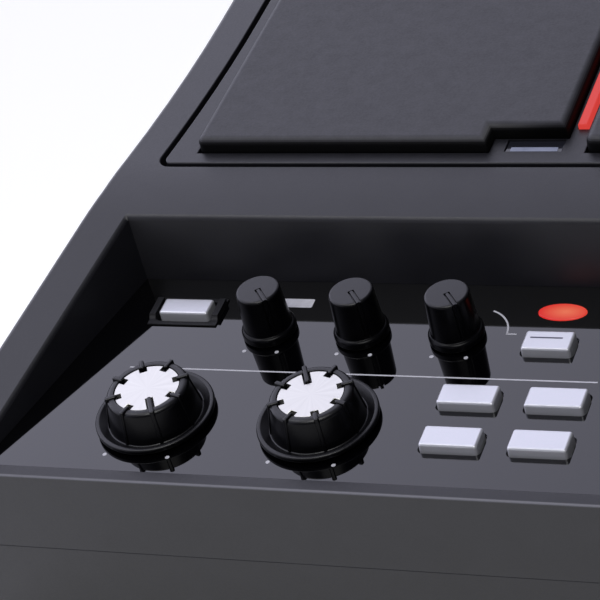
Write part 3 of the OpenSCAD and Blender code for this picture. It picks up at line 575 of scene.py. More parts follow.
# Moulded ABS with a spark-eroded satin: soft broad shine, no sharp reflections
CASE_ABS = Grained("abs_satin_charcoal", "#111116", 0.42, ior=1.52, pale="#17171c", grain=0.45,
                   depth=0.016, cloud=9)
# Cast acrylic, black, flame polished: a dark mirror
PANEL_ACRYLIC = Polished("acrylic_gloss_black", "#020203", 0.02, ior=1.49, coat=0.45)
# Moulded silicone rubber, matte, with a cloudy dust on the struck face and clean sides darkened with painted
# shade
PAD_RUBBER = DustedAndShaded("silicone_rubber_charcoal", "#1f1f24", 0.56, ior=1.52, pale="#2c2c31", grain=0.6,
                    depth=0.03, cloud=4, side="#050506", side_shine=0.1, side_roughness=0.56)
# Moulded rubber of the feet, matte black
FOOT_RUBBER = Grained("moulded_rubber_black", "#141416", 0.75, pale="#1d1d1f", grain=0.5, depth=0.04, cloud=5)
# Moulded ABS of the knobs, black: fine texture on top, polished sides a little darkened with painted shade
KNOB_ABS = DustedAndShaded("abs_satin_black", "#07070a", 0.36, ior=1.46, pale="#0c0c10", grain=0.3, depth=0.002,
                  cloud=3, side="#040406", side_shine=0.16, side_roughness=0.28)
# Moulded ABS of the power key's frame, matte black
BEZEL_ABS = Grained("abs_matte_black", "#060608", 0.5, ior=1.36, pale="#0a0a0d", grain=0.3, depth=0.005,
                    cloud=3)
# Nylon of the sockets and switches, dull black
SOCKET_NYLON = Grained("nylon_black", "#121214", 0.5, pale="#1a1a1c", grain=0.4, depth=0.01, cloud=3)
# Silver paint over moulded ABS: a soft metallic sheen
KEY_PAINT = FlakePaint("silver_paint", "#d0d2d8", 0.3, metallic=0.5)
# Zinc-plated steel, slightly cloudy
STEEL = Worn("zinc_plated_steel", "#8f9196", 0.34, 1.0, pale="#b4b6ba")
# Nickel plate on brass, bright
NICKEL = Worn("nickel_plate", "#b9b8b4", 0.22, 1.0, pale="#d6d5d0")
# Turned brass of the threaded inserts and the sensors, warm and bright
BRASS = Worn("turned_brass", "#a88436", 0.3, 1.0, pale="#c9a95c")
# Screen-printed white ink, matte, a little uneven
INK = Grained("screen_print_white", "#b0b0b6", 0.6, pale="#c4c4ca", grain=0.3, depth=0.002, cloud=1.5)
# Screen-printed grey ink on the silver keys, matte
KEY_INK = Grained("screen_print_slate", "#4a4a5a", 0.6, pale="#565668", grain=0.3, depth=0.002, cloud=1.5)
# Red acrylic light pipe, lit from below: an even red glow
RED_LIGHT = Lit("red_light_pipe", "#4a100e", 0.5, ior=1.36, glow=0.8, near="#e4453f", far="#e4453f")
# Smoked lens over a pad's marker lamp, dark with a soft shine
MARKER_LENS = Polished("smoked_lens", "#1c1d23", 0.12, coat=0.4)
# Opal light guide along the front of a marker lens, pale and matte
MARKER_GUIDE = Grained("opal_light_guide", "#757b8f", 0.4, pale="#868ca0", grain=0.3, depth=0.004,
                       cloud=3)
# Float glass of the display, clear
DISPLAY_GLASS = Clear("clear_glass", "#f2f6f8", 0.01, ior=1.5)
# Backlit liquid crystal: pale field and dark bars
DISPLAY_FIELD = Lit("backlit_field", "#3a4048", 0.5, glow=0.75, near="#d8e6f2", far="#93aecb", reach=(60, 30))
DISPLAY_BAR = Grained("crystal_bar", "#1a2230", 0.5, pale="#222c3c", grain=0.4, depth=0.002, cloud=2)
# Epoxy glass board under a green solder mask, half gloss
BOARD = Worn("solder_mask_green", "#1c5236", 0.35, 0.0, pale="#276a47", cloud=4)
# White background paper, matte, bright enough to leave no horizon
PAPER = Paper("white_paper", "#f4f4f4", 0.9, tone="#fffff0", glow=0.19)


class Work:
    """A mesh being shaped, in deck millimetres."""

    def __init__(self) -> None:
        """Starts with an empty mesh."""
        self.shape = bmesh.new()

    @classmethod
    def of_node(cls, node: str) -> "Work":
        """Copy of a CAD node, with its triangles merged into plain faces.

        Args:
            node: the CAD node's name.

        Returns:
            The copy.
        """
        work = cls()
        work.shape.from_mesh(frame["nodes"][node].data)
        work.shape.transform(DECK.inverse)
        bmesh.ops.remove_doubles(work.shape, verts=work.shape.verts, dist=MERGE)
        work.flatten()
        bmesh.ops.dissolve_degenerate(work.shape, dist=FOLD, edges=work.shape.edges)
        return work.flatten()

    @classmethod
    def spun(cls, profile: Sequence[Point], steps: int, angle: float = FULL_TURN) -> "Work":
        """Shape swept about z.

        Args:
            profile: radius and height of each point; a closed shape runs from the axis to the axis.
            steps: faces along the sweep.
            angle: how far it is swept, in radians.

        Returns:
            The shape.
        """
        work = cls()
        verts = [work.shape.verts.new((r, 0, z)) for r, z in profile]
        edges = [work.shape.edges.new(pair) for pair in zip(verts, verts[1:])]
        bmesh.ops.spin(work.shape, geom=verts + edges, cent=(0, 0, 0), axis=(0, 0, 1), dvec=(0, 0, 0),
                       angle=angle, steps=steps, use_merge=angle == FULL_TURN, use_duplicate=False)
        bmesh.ops.remove_doubles(work.shape, verts=work.shape.verts, dist=MERGE)
        bmesh.ops.recalc_face_normals(work.shape, faces=work.shape.faces)
        return work

    @classmethod
    def slab(cls, outline: Iterable[Point], low: float, high: float) -> "Work":
        """Flat shape with a plan outline.

        Args:
            outline: x and y of each corner.
            low: height of its underside.
            high: height of its top.

        Returns:
            The closed shape.
        """
        work = cls()
        work.shape.faces.new([work.shape.verts.new((x, y, low)) for x, y in outline])
        return work.thicken(high - low)

    def thicken(self, height: float) -> "Work":
        """Raises flat faces into a closed shape.

        Args:
            height: how far the top stands over the faces.

        Returns:
            This work.
        """
        raised = bmesh.ops.extrude_face_region(self.shape, geom=self.shape.faces[:])["geom"]
        tops = [v for v in raised if isinstance(v, bmesh.types.BMVert)]
        bmesh.ops.translate(self.shape, verts=tops, vec=(0, 0, height))
        bmesh.ops.recalc_face_normals(self.shape, faces=self.shape.faces)
        return self

    def move(self, x: float, y: float) -> "Work":
        """Shifts the shape along the deck."""
        bmesh.ops.translate(self.shape, verts=self.shape.verts, vec=(x, y, 0))
        return self

    def turn(self, angle: float, axis: str = "Z") -> "Work":
        """Turns the shape about an axis through the origin, by an angle in radians."""
        bmesh.ops.rotate(self.shape, verts=self.shape.verts, cent=(0, 0, 0),
                         matrix=Matrix.Rotation(angle, 3, axis))
        return self

    def flatten(self) -> "Work":
        """Merges neighbouring faces that lie in one plane."""
        bmesh.ops.dissolve_limit(self.shape, angle_limit=FLAT, verts=self.shape.verts, edges=self.shape.edges)
        return self

    def clean(self) -> "Work":
        """Takes out doubled points and slivers that have no area.

        Returns:
            This work.
        """
        bmesh.ops.remove_doubles(self.shape, verts=self.shape.verts, dist=MERGE)
        bmesh.ops.dissolve_degenerate(self.shape, dist=MERGE, edges=self.shape.edges)
        return self

    def soften(self, radius: float, segments: int = 2, where: EdgeTest = lambda edge: True,
               clamp: bool = True) -> "Work":
        """Rounds outer edges.

        Args:
            radius: size of the rounding.
            segments: faces across it.
            where: test that picks the edges.
            clamp: whether short edges limit the rounding.

        Returns:
            This work.
        """
        picked = [e for e in self.shape.edges if is_corner(e) and where(e)]
        bmesh.ops.bevel(self.shape, geom=picked, offset=radius, offset_type="OFFSET", segments=segments,
                        profile=0.5, affect="EDGES", clamp_overlap=clamp, material=-1)
        return self.clean()

    def dust_and_shade(self, low: float = 0.0) -> "Work":
        """Marks the faces that look up as dusty, less and less towards the sides, where painted shade takes
        over.

        Args:
            low: height from which the dust starts; faces below it get the full painted shade of the sides.

        Returns:
            This work.
        """
        layer = self.shape.faces.layers.float.new(DUST_AND_SHADE)
        self.shape.normal_update()
        for face in self.shape.faces:
            if face.calc_center_median().z > low:
                face[layer] = min(1.0, max(0.0, face.normal.z * DUST_AND_SHADE_GAIN - DUST_AND_SHADE_LOSS))
        return self

    def to_mesh(self, name: str) -> bpy.types.Mesh:
        """Hands the shape over as a mesh; the work is used up.

        Args:
            name: the mesh's name.

        Returns:
            The mesh.
        """
        mesh = bpy.data.meshes.new(name)
        self.shape.to_mesh(mesh)
        self.shape.free()
        return mesh

    def join(self, other: "Work") -> "Work":
        """Adds another shape that stays a shell of its own.

        Args:
            other: the other shape, which is used up.

        Returns:
            This work.
        """
        mesh = other.to_mesh("joined")
        self.shape.from_mesh(mesh)
        bpy.data.meshes.remove(mesh)
        return self

    def unite(self, other: "Work") -> "Work":
        """Merges another shape into this one, so that one skin is left."""
        return self.combine(other, Boolean.ADD)

    def cut(self, other: "Work") -> "Work":
        """Takes another shape out of this one."""
        return self.combine(other, Boolean.CUT)

    def combine(self, other: "Work", way: Boolean) -> "Work":
        """Works another shape into this one.

        Args:
            other: the other shape, which is used up.
            way: whether it is added or taken out.

        Returns:
            This work.
        """
        base, tool = [stand("loose", work.to_mesh("loose")) for work in (self, other)]
        boolean = base.modifiers.new("boolean", "BOOLEAN")
        boolean.operation = way.value
        boolean.solver = "EXACT"
        boolean.object = tool
        mesh = bpy.data.meshes.new_from_object(base.evaluated_get(bpy.context.evaluated_depsgraph_get()))
        self.shape = bmesh.new()
        self.shape.from_mesh(mesh)
        for obj in (base, tool):
            old = obj.data
            bpy.data.objects.remove(obj)
            bpy.data.meshes.remove(old)
        bpy.data.meshes.remove(mesh)
        return self

    def piece(self, name: str, finish: Finish, body: str = Body.CASE.value, slot: str = "",
              replaces: Sequence[str] = ()) -> bpy.types.Object:
        """Makes the finished object and ties it to the frame.

        Args:
            name: the piece's name.
            finish: its material.
            body: the body that it rides on.
            slot: the record's material slot, if it has one; not used.
            replaces: CAD nodes that it stands for.

        Returns:
            The object.
        """
        self.shape.transform(DECK.matrix)
        mesh = self.to_mesh(name)
        mesh.shade_smooth()
        mesh.set_sharp_from_angle(angle=CRISP)
        mesh.materials.append(finish.material())
        obj = stand(name, mesh)
        even = obj.modifiers.new("even_normals", "WEIGHTED_NORMAL")
        even.keep_sharp = True
        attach(obj, body)
        if replaces:
            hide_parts(*replaces)
        LOG.info("%s rides on %s, %d faces", name, body, len(mesh.polygons))
        return obj


def is_corner(edge: Edge) -> bool:
    """Whether an edge is an outer one and sharp enough to be rounded."""
    return edge.is_manifold and edge.is_convex and edge.calc_face_angle() > SHARP


def above(height: float) -> EdgeTest:
    """Test for edges that lie wholly above a height."""
    return lambda edge: min(v.co.z for v in edge.verts) > height


def rounded(corners: Sequence[Triple], steps: int = 5) -> list[Point]:
    """Path through corners, each rounded by its own radius.

    Args:
        corners: two coordinates and a radius for each corner; the ends have none.
        steps: pieces of each round stretch.

    Returns:
        The path's points.
    """
    path: list[Point] = [corners[0][:2]]
    for before, here, after in zip(corners, corners[1:], corners[2:]):
        point, radius = Vector(here[:2]), here[2]
        back = (Vector(before[:2]) - point).normalized()
        ahead = (Vector(after[:2]) - point).normalized()
        half = back.angle(ahead) / 2
        if radius <= 0:
            path.append((point.x, point.y))
            continue
        reach = radius / math.tan(half)
        start = point + back * reach
        centre = point + (back + ahead).normalized() * radius / math.sin(half)
        sweep = (start - centre).angle_signed(point + ahead * reach - centre)
        for i in range(steps + 1):
            arm = start - centre
            arm.rotate(Matrix.Rotation(-sweep * i / steps, 2))
            path.append((centre.x + arm.x, centre.y + arm.y))
    path.append(corners[-1][:2])
    return path


def rounded_box(width: float, depth: float, radius: float) -> list[Point]:
    """Plan of a box with round corners about the origin.

    Args:
        width: its size along x.
        depth: its size along y.
        radius: radius of its corners.

    Returns:
        The plan's points.
    """
    x, y = width / 2, depth / 2
    corners = [(x, -y, radius), (x, y, radius), (-x, y, radius), (-x, -y, radius)]
    path = rounded([(0, -y, 0), *corners, (0, -y, 0)])
    return path[:-1]


def disc(x: float, y: float, radius: float, low: float, high: float, segments: int = 24) -> Work:
    """Round dot on the deck."""
    steps = [FULL_TURN * i / segments for i in range(segments)]
    return Work.slab([(x + radius * math.cos(a), y + radius * math.sin(a)) for a in steps], low, high)


@dataclass
class CaseShells:
    """Upper and lower shell: copies of the CAD shells with their outer edges rounded."""

    side_edge: float = 1.2
    front_edge: float = 0.55
    well_edge: float = 0.9
    lip_edge: float = 0.12
    part_edge: float = 0.3
    foot_edge: float = 1.2
    edge_faces: int = 3
    corner_run: float = 6.0
    lip_z: float = 0.4
    lip_back: float = 0.5
    part_z: float = -22.0
    outer_half: float = 158.0
    rim_half: float = 144.0
    inner_half: float = 138.0
    stub: float = 1.0
    # Upward part of a face's normal: a top has more than top_up, a slope more than wall_up, a floor less than
    # floor_up, and an upright wall lies within side_up of 0
    top_up: float = 0.8
    wall_up: float = 0.1
    floor_up: float = -0.9
    side_up: float = 0.3
    # Colour of the painted highlight along the lip's front edge
    highlight_colour: str = "#717178"

    def build(self) -> None:
        """Makes both shells."""
        front = DECK.node_box("top_case")[0].y
        # The case's own ABS, with a painted highlight along the lip's front edge in front of the panel
        highlight_base = vars(CASE_ABS) | {"name": "abs_satin_charcoal_painted_highlight"}
        highlighted = PaintedEdgeHighlight(**highlight_base, highlight_colour=self.highlight_colour, edge=tuple(DECK.metres(0, front, self.lip_z)))
        self.shell("top_case", highlighted, lambda edge: self.upper_radius(edge, front))
        self.shell("bottom_case", CASE_ABS, self.lower_radius)

    def shell(self, node: str, finish: Finish, radius: Callable[[Edge], float]) -> None:
        """Rounds one shell.

        Args:
            node: the shell's CAD node.
            finish: its material.
            radius: rule that gives each edge its radius.
        """
        work = Work.of_node(node)
        weight = work.shape.edges.layers.float.new("bevel_weight_edge")
        for edge in work.shape.edges:
            if is_corner(edge):
                edge[weight] = min(1.0, radius(edge) / self.side_edge)
        obj = work.piece(node + "_shell", finish, slot="case_plastic", replaces=[node])
        bevel = obj.modifiers.new("round_edges", "BEVEL")
        bevel.limit_method = "WEIGHT"
        bevel.width = self.side_edge * MM
        bevel.segments = self.edge_faces
        bevel.use_clamp_overlap = False
        weld = obj.modifiers.new("close_slivers", "WELD")
        weld.merge_threshold = MERGE * MM
        # The piece's own even normals come after the rounding and the weld
        obj.modifiers.move(0, 2)

    def upper_radius(self, edge: Edge, front: float) -> float:
        """Radius for an edge of the upper shell.

        Args:
            edge: the edge, in deck millimetres.
            front: where the shell's front lies.

        Returns:
            The radius, 0 for an edge that stays crisp.
        """
        middle = (edge.verts[0].co + edge.verts[1].co) / 2
        ups = sorted(face.normal.z for face in edge.link_faces)
        if ups[1] < self.top_up:
            if middle.y < front + NEAR and middle.z > self.lip_z:
                return self.front_edge
            low = middle.z < self.part_z + NEAR and abs(middle.x) > self.outer_half
            return self.part_edge if low else 0.0
        if ups[0] > self.wall_up:
            return self.well_edge
        if middle.z < self.lip_z + NEAR and middle.y > front + self.lip_back:
            return self.lip_edge
        if abs(middle.x) < self.outer_half and middle.y > front + self.corner_run:
            return self.part_edge
        share = min(1.0, (middle.y - front) / self.corner_run)
        return self.front_edge + (self.side_edge - self.front_edge) * share

    def lower_radius(self, edge: Edge) -> float:
        """Radius for an edge of the lower shell.

        Args:
            edge: the edge, in deck millimetres.

        Returns:
            The radius, 0 for an edge that stays crisp.
        """
        middle = (edge.verts[0].co + edge.verts[1].co) / 2
        ups = sorted(face.normal.z for face in edge.link_faces)
        if edge.calc_length() < self.stub and abs(middle.x) < self.inner_half:
            return 0.0
        if ups[0] < self.floor_up and abs(ups[1]) < self.side_up and abs(middle.x) > self.rim_half:
            return self.foot_edge
        return self.part_edge


@dataclass
class PadField:
    """Nine rubber pads, the frame around them, the light bars and the marker windows."""

    pads: int = 9
    pad_edge: float = 1.9
    pad_faces: int = 6
    pad_rise: float = 0.4
    frame_edge: float = 0.35
    top_z: float = 17.8
    pocket_z: float = 15.5
    bar_edge: float = 0.3
    bar_short: float = 2.6
    bar_bite: float = 0.8
    plug_round: float = 0.1
    plug_sink: float = 0.5
    lens_edge: float = 0.2
    lens_sink: float = 0.5
    guide_edge: float = 0.08
    guide_round: float = 0.3
    guide_depth: float = 1.6
    guide_inset: Point = (1.15, 0.25)
    guide_rise: float = 0.1
    guide_sink: float = 0.6

    def build(self) -> None:
        """Makes the pads and everything between them."""
        for number in range(1, self.pads + 1):
            node = f"pad_{number}"
            work = Work.of_node(node)
            work.soften(self.pad_edge, self.pad_faces, above(self.top_z + self.pad_rise), clamp=False)
            # Struck face dusty, sides darkened with painted shade
            work.dust_and_shade().piece(node + "_skin", PAD_RUBBER, slot="pad_rubber", replaces=[node])
        bars, plugs = self.short_bars()
        work = Work.of_node("pad_frame").unite(plugs).flatten()
        work.soften(self.frame_edge, where=self.frame_rim, clamp=False)
        work.piece("pad_frame_trim", CASE_ABS, slot="case_plastic", replaces=["pad_frame"])
        bars.soften(self.bar_edge, where=above(self.top_z))
        bars.piece("light_bar_pipes", RED_LIGHT, slot="red_light", replaces=["light_bars"])
        work = Work.of_node("pad_windows")
        work.soften(self.lens_edge, where=above(self.top_z - self.lens_sink))
        self.guides(work).piece("marker_guides", MARKER_GUIDE, slot="marker_window")
        work.piece("marker_lenses", MARKER_LENS, slot="marker_window", replaces=["pad_windows"])

    def short_bars(self) -> tuple[Work, Work]:
        """Light bars that end short of their slots, and blocks that fill the slots' front ends.

        Returns:
            The bars and the blocks.
        """
        bars, plugs = Work.of_node("light_bars"), Work()
        low = min(v.co.z for v in bars.shape.verts)
        for face in [f for f in bars.shape.faces if f.normal.y < -FACING]:
            middle = face.calc_center_median()
            width = max(v.co.x for v in face.verts) - min(v.co.x for v in face.verts)
            plan = rounded_box(width + self.bar_bite, self.bar_short + self.bar_bite / 2, self.plug_round)
            plug = Work.slab(plan, low - self.plug_sink, self.top_z)
            plugs.join(plug.move(middle.x, middle.y + self.bar_short / 2 - self.bar_bite / 2))
            bmesh.ops.translate(bars.shape, verts=face.verts, vec=(0, self.bar_short, 0))
        return bars, plugs

    def frame_rim(self, edge: Edge) -> bool:
        """Whether an edge of the frame is on its top and not round a window's shallow pocket."""
        deepest = min(v.co.z for face in edge.link_faces for v in face.verts)
        return min(v.co.z for v in edge.verts) > self.top_z - NEAR and deepest < self.pocket_z

    def guides(self, lenses: Work) -> Work:
        """Pale strips along the front of the marker lenses.

        Args:
            lenses: the lenses, one shell each.

        Returns:
            One shape with all the strips.
        """
        strips = Work()
        side, front = self.guide_inset
        for face in [f for f in lenses.shape.faces if f.normal.y < -FACING]:
            middle = face.calc_center_median()
            length = max(v.co.x for v in face.verts) - min(v.co.x for v in face.verts) - 2 * side
            top = max(v.co.z for v in lenses.shape.verts if abs(v.co.y - middle.y) < self.guide_depth)
            plan = rounded_box(length, self.guide_depth, self.guide_round)
            strip = Work.slab(plan, top - self.guide_sink, top + self.guide_rise)
            strip.move(middle.x, middle.y + front + self.guide_depth / 2)
            strips.join(strip.soften(self.guide_edge, where=above(top)))
        return strips


@dataclass
class ControlKnob:
    """Large knob: a dished brim with a rolled rim, a ribbed grip and a spun aluminium cap."""

    name: str
    pointer_deg: float
    steps: int = 96
    gap: float = 0.4
    # Rounding of each corner of the half section, from the brim's underside to the edge of the cap's seat
    rounds: tuple[float, ...] = (0.3, 0.35, 0.45, 0.4, 0.3, 0.1, 1.2, 0.15)
    brim_r: float = 14.0
    brim_slope: Point = (0.9, 0.5)
    rim_top: float = 2.05
    rim_w: float = 0.95
    dish_z: float = 0.6
    dish_slope: float = 0.25
    grip_r: float = 10.9
    grip_top_r: float = 9.5
    height: float = 8.7
    seat_r: float = 7.75
    seat_z: float = 7.6
    cap_r: float = 7.6
    cap_edge: float = 0.1
    cap_foot: float = 0.5
    ribs: int = 8
    rib_w: float = 1.15
    rib_rise: float = 0.4
    rib_out: float = 0.4
    rib_root: float = 1.0
    rib_drop: float = 0.3
    rib_slack: float = 0.1
    rib_edge: float = 0.25
    rib_foot: Point = (-0.8, 0.3)
    tip_round: float = 0.95
    end_round: float = 0.7
    top_round: float = 0.62
    top_faces: int = 3
    bite: float = 0.55
    pointer_bite: float = 3.7

    def build(self) -> None:
        """Makes the knob and its cap."""
        spot = DECK.knob_spot(f"{self.name}_turn")
        work = Work.spun(self.profile(), self.steps)
        for i in range(self.ribs):
            angle = math.radians(self.pointer_deg + i * 360 / self.ribs)
            work.unite(self.rib(self.pointer_bite if i == 0 else self.bite).turn(angle))
        node = f"{self.name}_knob"
        # Upward faces dusty, sides darkened with painted shade
        work.move(spot.x, spot.y).dust_and_shade().piece(node + "_grip", KNOB_ABS, node, "knob_plastic", [node])
        centre = DECK.metres(spot.x, spot.y, self.height)
        # Aluminium turned on a lathe: a bright satin disc whose streaks, partly painted sheen, follow its own
        # centre
        spun = SpunMetal(f"spun_aluminium_{self.name}", "#d6d5cf", 0.36, 1.0, centre=tuple(centre))
        cap = f"{self.name}_cap"
        work = Work.of_node(cap).soften(self.cap_edge, where=above(self.seat_z + self.cap_foot))
        work.piece(cap + "_face", spun, node, "cap_aluminium", [cap])

    def profile(self) -> list[Point]:
        """Half section of the brim, its rolled rim, the dish and the grip.

        Returns:
            Radius and height of each point.
        """
        inward, upward = self.brim_slope
        corners = [(self.brim_r - inward, self.gap), (self.brim_r, self.gap + upward),
                   (self.brim_r, self.rim_top), (self.brim_r - self.rim_w, self.rim_top),
                   (self.grip_r + self.dish_slope, self.dish_z), (self.grip_r, self.dish_z + self.dish_slope),
                   (self.grip_top_r, self.height), (self.seat_r, self.height)]
        turned = [(*corner, radius) for corner, radius in zip(corners, self.rounds)]
        return rounded([(0, self.gap, 0), *turned, (self.seat_r, self.seat_z, 0), (0, self.seat_z, 0)])

    def rib(self, bite: float) -> Work:
        """Round-ended nub over the cap's edge, which runs on as a rib down the grip.

        Args:
            bite: how far the nub reaches over the cap's edge.

        Returns:
            The rib, pointing along x.
        """
        tip, end = self.cap_r - bite, self.grip_top_r + self.rib_out
        half, top = self.rib_w / 2, self.height + self.rib_rise
        end_round, tip_round = half * self.end_round, half * self.tip_round
        plan = rounded([(end - self.rib_root, -half, 0), (end, -half, end_round), (end, half, end_round),
                        (tip, half, tip_round), (tip, -half, tip_round), (end - self.rib_root, -half, 0)])
        nub = Work.slab(plan[:-1], self.height - self.rib_root, top)
        nub.soften(half * self.top_round, self.top_faces, above(top - NEAR), clamp=False)
        foot, head = self.dish_z + self.rib_slack, self.height - self.rib_drop
        inner, outer = self.rib_foot
        side = Work.slab([
            (self.grip_top_r - self.rib_root, head), (self.grip_r + inner, foot), (self.grip_r + outer, foot),
            (end - self.rib_slack, head)], -half + self.rib_slack, half - self.rib_slack)
        side.turn(math.pi / 2, "X").soften(self.rib_edge)
        return nub.unite(side)


@dataclass
class VolumeKnob:
    """Small knob: a round collar, a tall tapered grip and a pointer rib."""

    name: str
    pointer_deg: float = -52.0
    steps: int = 72
    gap: float = 0.4
    # Rounding of each corner of the half section, from the collar's underside to the top
    rounds: tuple[float, ...] = (0.25, 0.85, 0.3, 0.7)
    collar_r: float = 6.5
    collar_h: float = 2.4
    collar_slope: float = 0.1
    foot_r: float = 5.7
    top_r: float = 5.2
    height: float = 12.75
    rib_w: float = 0.75
    rib_rise: float = 0.15
    rib_root: float = 0.6
    rib_start: float = 0.35
    slot_w: float = 1.5
    slot_depth: float = 0.45
    slot_over: float = 2.0
    strip_foot: float = 0.5
    strip_edge: float = 0.1
    top_layer: float = 1.0

    def build(self) -> None:
        """Makes the knob."""
        spot = DECK.knob_spot(f"{self.name}_turn")
        work = Work.spun(self.profile(), self.steps)
        turn = math.radians(self.pointer_deg)
        slot = self.strip(self.slot_w, -self.slot_depth, self.slot_over, 0.0)
        rib = self.strip(self.rib_w, -self.slot_depth - self.rib_root, self.rib_rise, self.rib_start)
        work.cut(slot.turn(turn)).unite(rib.turn(turn)).clean()
        node = f"{self.name}_knob"
        # Only the top layer is dusty; the sides and the collar below get painted shade
        work.move(spot.x, spot.y).dust_and_shade(self.height - self.top_layer)
        work.piece(node + "_grip", KNOB_ABS, node, "knob_plastic", [node])

    def profile(self) -> list[Point]:
        """Half section of the collar and the grip.

        Returns:
            Radius and height of each point.
        """
        corners = [(self.collar_r, self.gap), (self.collar_r, self.collar_h),
                   (self.foot_r, self.collar_h + self.collar_slope), (self.top_r, self.height)]
        turned = [(*corner, radius) for corner, radius in zip(corners, self.rounds)]
        return rounded([(0, self.gap, 0), *turned, (0, self.height, 0)])

    def strip(self, width: float, low: float, high: float, start: float) -> Work:
        """Bent strip along the top, over the rim and down the side.

        Args:
            width: its width.
            low: its inner face, over the knob's skin.
            high: its outer face, over the knob's skin.
            start: where it starts, from the axis.

        Returns:
            The strip, pointing along x.
        """
        foot = self.collar_h + self.strip_foot
        inner = [(start, self.height + low), (self.top_r + low, self.height + low), (self.foot_r + low, foot)]
        outer = [(self.foot_r + high, foot), (self.top_r + high, self.height + high),
                 (start, self.height + high)]
        work = Work.slab(inner + outer, -width / 2, width / 2)
        return work.turn(math.pi / 2, "X").soften(self.strip_edge)


@dataclass
class KeySet:
    """Silver keys: drawn in towards the top, with a round top edge."""

    names: tuple[str, ...] = ("power", "start", "filter", "delay", "loop", "effect", "function_1",
                              "function_2", "function_3", "exit", "enter", "left", "right", "minus", "plus")
    rise: float = 2.2
    rise_slack: float = 0.05
    low: float = -3.2
    draft: float = 0.12
    grow: Point = (0.35, 0.5)
    edge: float = 0.6
    edge_faces: int = 4
    bar_length: float = 7.6
    bar_depth: float = 0.45
    bar_round: float = 0.2
    bar_half: float = 0.02
    bar_shift: Point = (-0.45, 0.65)

    def build(self) -> None:
        """Makes every key and the bar on the start key."""
        for name in self.names:
            self.cap(name + "_button", (0.0, 0.0) if name == "power" else self.grow)
        low, high = DECK.node_box("start_button")
        x, y = (low.x + high.x) / 2 + self.bar_shift[0], (low.y + high.y) / 2 + self.bar_shift[1]
        plan = rounded_box(self.bar_length, self.bar_depth, self.bar_round)
        bar = Work.slab(plan, self.rise - self.bar_half, self.rise + self.bar_half)
        bar.move(x, y).piece("start_key_bar", KEY_INK, "start_button")

    def cap(self, node: str, grow: Point) -> None:
        """Makes one key.

        Args:
            node: the key's CAD node.
            grow: how far its sides stand outside the CAD key's.
        """
        low, high = DECK.node_box(node)
        centre = (low + high) / 2
        top = self.rise - self.rise_slack
        work = Work.of_node(node)
        for vert in work.shape.verts:
            if vert.co.z > self.low:
                draft = self.draft if vert.co.z > top else 0.0
                for i in (0, 1):
                    vert.co[i] += math.copysign(1, vert.co[i] - centre[i]) * (grow[i] - draft)
        work.soften(self.edge, self.edge_faces, above(top), clamp=False)
        work.piece(node + "_cap", KEY_PAINT, node, "key_paint", [node])


@dataclass
class PanelFace:
    """Acrylic panel with its printed marks, the power key's frame and the tempo lens."""

    ink_low: float = 0.004
    ink_high: float = 0.03
    line_y: float = 16.5
    line_from: float = -13.4
    line_to: float = 99.9
    line_w: float = 0.42
    dot_r: float = 0.5
    volume_dot: Point = (4.1, -7.25)
    control_dot: Point = (7.8, -13.3)
    plate: Point = (14.6, 3.1)
    plate_round: float = 0.4
    plate_y: float = 10.4
    arc_centre: Point = (66.3, 31.9)
    arc_r: float = 8.55
    arc_deg: float = 68.0
    arc_steps: int = 16
    tail: float = 2.3
    trim_faces: int = 3
    bezel_edge: float = 0.4
    bezel_foot: float = 0.05
    lens_edge: float = 0.2
    lens_foot: float = 0.1
    glow_shift: float = 0.8
    glow_reach: float = 0.54

    def build(self) -> None:
        """Dresses the panel and its trims."""
        keep("control_panel", PANEL_ACRYLIC)
        first = DECK.knob_spot("control_1_turn")
        marks = self.bar(self.line_from, self.line_to, self.line_y)
        for joint in ("master_turn", "phones_turn", "click_turn"):
            self.dots(marks, DECK.knob_spot(joint) - first, self.volume_dot)
        for joint in ("control_1_turn", "control_2_turn"):
            self.dots(marks, DECK.knob_spot(joint) - first, self.control_dot)
        master = DECK.knob_spot("master_turn") - first
        plate = Work.slab(rounded_box(*self.plate, self.plate_round), self.ink_low, self.ink_high)
        marks.join(plate.move(master.x, master.y + self.plate_y))
        marks.join(self.leader())
        marks.move(first.x, first.y).piece("panel_print", INK)
        work = Work.of_node("power_bezel").soften(self.bezel_edge, self.trim_faces, above(self.bezel_foot))
        work.piece("power_key_frame", BEZEL_ABS, slot="bezel_plastic", replaces=["power_bezel"])
        work = Work.of_node("tempo_lens").soften(self.lens_edge, self.trim_faces, above(self.lens_foot))
        work.piece("tempo_lens_face", self.glow(), slot="tempo_light", replaces=["tempo_lens"])

    def glow(self) -> Lit:
        """Finish of the tempo lens.

        Returns:
            Red translucent plastic, orange where the lamp behind it is near.
        """
        low, high = DECK.node_box("tempo_lens")
        middle, size = (low + high) / 2, (high - low) * self.glow_reach
        return Lit("tempo_lens_glow", "#3c0c0a", 0.3, glow=0.85, near="#f27c5a", far="#e42c28",
                   centre=tuple(DECK.metres(middle.x + self.glow_shift, middle.y)), reach=(size.x, size.y))

    def bar(self, x0: float, x1: float, y: float) -> Work:
        """Printed line along x."""
        half = self.line_w / 2
        return Work.slab([(x0, y - half), (x1, y - half), (x1, y + half), (x0, y + half)],
                         self.ink_low, self.ink_high)

    def dots(self, marks: Work, spot: Vector, shift: Point) -> None:
        """Two printed dots in front of a knob."""
        for x in (spot.x - shift[0], spot.x + shift[0]):
            marks.join(disc(x, spot.y + shift[1], self.dot_r, self.ink_low, self.ink_high))

    def leader(self) -> Work:
        """Printed line that leads round a bend to the start key.

        Returns:
            The line.
        """
        x, y = self.arc_centre
        inner, outer = self.arc_r - self.line_w / 2, self.arc_r + self.line_w / 2
        ends = [(inner, self.ink_low), (outer, self.ink_low)]
        bend = Work.spun(ends, self.arc_steps, math.radians(self.arc_deg))
        bend.thicken(self.ink_high - self.ink_low).move(x, y)
        return bend.join(self.bar(x + inner, x + self.arc_r + self.tail, y))


